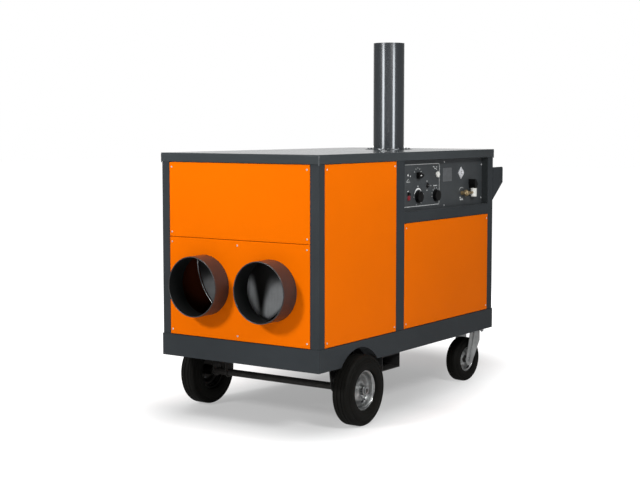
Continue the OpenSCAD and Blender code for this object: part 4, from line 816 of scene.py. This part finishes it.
# Welded corners of the lid's lip, in a paint lighter than the lid's: a painted highlight on the seams
weld = {"x": 0.5485, "front": alongY(1.5), "rear": alongY(2008.5), "low": upZ(1108), "high": upZ(1158),
        "radius": 0.0028, "sunk": 0.0021}
bm = bmesh.new()
low, high, r = weld["low"], weld["high"], weld["radius"]
for x in (-weld["x"], weld["x"]):
    for y in (weld["front"], weld["rear"]):
        sunk = [v - math.copysign(weld["sunk"], v) for v in (x, y)]
        addLathe(bm, [(0, low), (r * 0.6, low), (r, low + 0.002), (r * 0.75, (low + high) / 2),
                      (r, high - 0.002), (r * 0.6, high), (0, high)], Matrix.Translation((*sunk, 0)), 16)
makePiece("lidWelds", bm, "weldHighlightPaint", "frame", smooth=50)

# Dark sleeves inside the outlets and a dark sheet behind the lower front panel: painted shade inside the body
outletInside = {"x": 0.2315, "z": upZ(424), "outer": 0.1678, "inner": 0.1672, "mouth": -0.111, "end": 0.007}
backShadeSheet = {"hole": 0.190, "front": alongY(9), "back": alongY(12), "half": 0.482, "low": upZ(134),
          "high": upZ(680)}
o = outletInside
for side, word in ((-1, "Left"), (1, "Right")):
    bm = bmesh.new()
    addLathe(bm, [(o["outer"], o["mouth"]), (o["outer"], o["end"]), (o["inner"], o["end"]),
                  (o["inner"], o["mouth"])], intoFront(side * o["x"], alongY(0), o["z"]), 96, closed=True)
    makePiece("outletSleeve" + word, bm, "innerDark", "frame", smooth=40)
bm = bmesh.new()
low, high = backShadeSheet["low"], backShadeSheet["high"]
for side in (-1, 1):
    hole = circlePoints(backShadeSheet["hole"], 64, (side * o["x"], o["z"]))
    out = side * backShadeSheet["half"]
    for y in (backShadeSheet["front"], backShadeSheet["back"]):
        loops = []
        for outline in (hole, [(0.0, low), (out, low), (out, high), (0.0, high)]):
            ring = [bm.verts.new((x, y, z)) for x, z in outline]
            loops += [bm.edges.new((ring[i - 1], ring[i])) for i in range(len(ring))]
        bmesh.ops.triangle_fill(bm, edges=loops, use_beauty=True)
bmesh.ops.remove_doubles(bm, verts=bm.verts[:], dist=1e-5)
makePiece("frontShadeSheet", bm, "innerDark", "frame")
print("outlets lined")

# Stage and light
stageSettings = {"reach": 40.0, "centerY": 0.30, "halfX": 0.30, "halfY": 1.10, "slant": 0.30,
                 "fadeFrom": 0.05, "fadeTo": 0.90, "floorTone": 0.42, "floorGlow": 0.335, "bounce": 0.25}
floorMesh = bpy.data.meshes.new("floor")
r = stageSettings["reach"]
floorMesh.from_pydata([(-r, -r, 0), (r, -r, 0), (r, r, 0), (-r, r, 0)], [], [(0, 1, 2, 3)])
floor = bpy.data.objects.new("floor", floorMesh)
scene.collection.objects.link(floor)
floorMaterial = bpy.data.materials.new("floorPale")
floorMaterial.use_nodes = True
tree = floorMaterial.node_tree
tree.nodes.clear()
out = newNode(tree, "ShaderNodeOutputMaterial")
matt = newNode(tree, "ShaderNodeBsdfDiffuse")
matt.inputs["Color"].default_value = (stageSettings["floorTone"],) * 3 + (1.0,)
glow = newNode(tree, "ShaderNodeEmission")
# The floor glows, in full to the camera and at the bounce share lighting the heater as fill. The glow drops
# inside a slanted box round the heater's footprint: a painted shadow under the heater.
spot = splitVector(tree, "ShaderNodeTexCoord", "Object")
aside = calc(tree, "MULTIPLY", calc(tree, "MAXIMUM", spot["Y"], 0.0), stageSettings["slant"])
reaches = []
for value, center, half in ((calc(tree, "ADD", spot["X"], aside), 0.0, "halfX"),
                            (spot["Y"], stageSettings["centerY"], "halfY")):
    away = calc(tree, "ABSOLUTE", calc(tree, "SUBTRACT", value, center))
    outside = calc(tree, "MAXIMUM", calc(tree, "SUBTRACT", away, stageSettings[half]), 0.0)
    reaches.append(calc(tree, "MULTIPLY", outside, outside))
reach = calc(tree, "SQRT", calc(tree, "ADD", *reaches))
shadowedGlow = smoothRise(tree, reach, stageSettings["fadeFrom"], stageSettings["fadeTo"], stageSettings["floorGlow"])
seen = newNode(tree, "ShaderNodeLightPath").outputs["Is Camera Ray"]
bounce = stageSettings["bounce"]
share = calc(tree, "ADD", calc(tree, "MULTIPLY", seen, 1.0 - bounce), bounce)
link(tree, calc(tree, "MULTIPLY", shadowedGlow, share), glow.inputs["Strength"])
both = newNode(tree, "ShaderNodeAddShader")
link(tree, matt.outputs["BSDF"], both.inputs[0])
link(tree, glow.outputs["Emission"], both.inputs[1])
link(tree, both.outputs["Shader"], out.inputs["Surface"])
floorMesh.materials.append(floorMaterial)

# The studio is dim all round but for a white wall far behind the heater
worldSettings = {"fill": 0.15, "wall": (-0.566, 0.824, 0.0), "wallEdge": 0.80, "wallFull": 0.93}
world = bpy.data.worlds.new("studio")
scene.world = world
world.use_nodes = True
tree = world.node_tree
tree.nodes.clear()
out = newNode(tree, "ShaderNodeOutputWorld")
air = newNode(tree, "ShaderNodeBackground")
air.inputs["Color"].default_value = (1.0, 1.0, 1.0, 1.0)
seen = newNode(tree, "ShaderNodeLightPath").outputs["Is Camera Ray"]
toward = dotProduct(tree, newNode(tree, "ShaderNodeTexCoord").outputs["Generated"], worldSettings["wall"])
wall = smoothRise(tree, toward, worldSettings["wallEdge"], worldSettings["wallFull"], worldSettings["fill"])
link(tree, calc(tree, "MAXIMUM", wall, seen), air.inputs["Strength"])
link(tree, air.outputs["Background"], out.inputs["Surface"])


def addSoftbox(name, place, aim, size, power, spread=180, tint=(1.0, 1.0, 1.0)):
    data = bpy.data.lights.new(name, "AREA")
    data.shape = "RECTANGLE"
    data.size, data.size_y = size
    data.energy = power
    data.spread = math.radians(spread)
    data.color = tint
    lamp = bpy.data.objects.new(name, data)
    scene.collection.objects.link(lamp)
    lamp.location = place
    lamp.visible_camera = False
    lamp.rotation_euler = (Vector(aim) - Vector(place)).to_track_quat("-Z", "Y").to_euler()


# The two strips make the bright streaks on the flue
softboxes = {
    "keySoftbox": {"place": (-1.6, -5.8, 3.42), "aim": (0.0, -0.9, 0.8), "size": (1.0, 0.8), "power": 200},
    "sideSoftbox": {"place": (3.6, -1.75, 3.3), "aim": (0.55, -0.5, 0.9), "size": (1.3, 1.0), "power": 112},
    "fillSoftbox": {"place": (3.4, -6.4, 0.72), "aim": (0.1, -0.93, 0.8), "size": (1.3, 0.7), "power": 33},
    "backSoftbox": {"place": (-2.8, 4.6, 0.9), "aim": (-0.2, 0.5, 0.7), "size": (2.2, 1.1), "power": 55},
    "topSoftbox": {"place": (0.0, -1.2, 6.0), "aim": (0.0, -0.6, 0.0), "size": (5.0, 5.0), "power": 125},
    "leftStrip": {"place": (-0.557, -2.87, 1.87), "aim": (0.0, 0.58, 1.87), "size": (1.0, 1.0),
                  "power": 0.55, "spread": 34, "tint": (0.90, 0.95, 1.0)},
    "rightStrip": {"place": (3.25, -0.71, 1.87), "aim": (0.0, 0.58, 1.87), "size": (1.0, 1.0),
                   "power": 0.55, "spread": 34, "tint": (0.90, 0.95, 1.0)},
}
for name, settings in softboxes.items():
    addSoftbox(name, **settings)

scene.view_settings.view_transform = "Standard"
scene.view_settings.look = "None"
print("stage and light set")
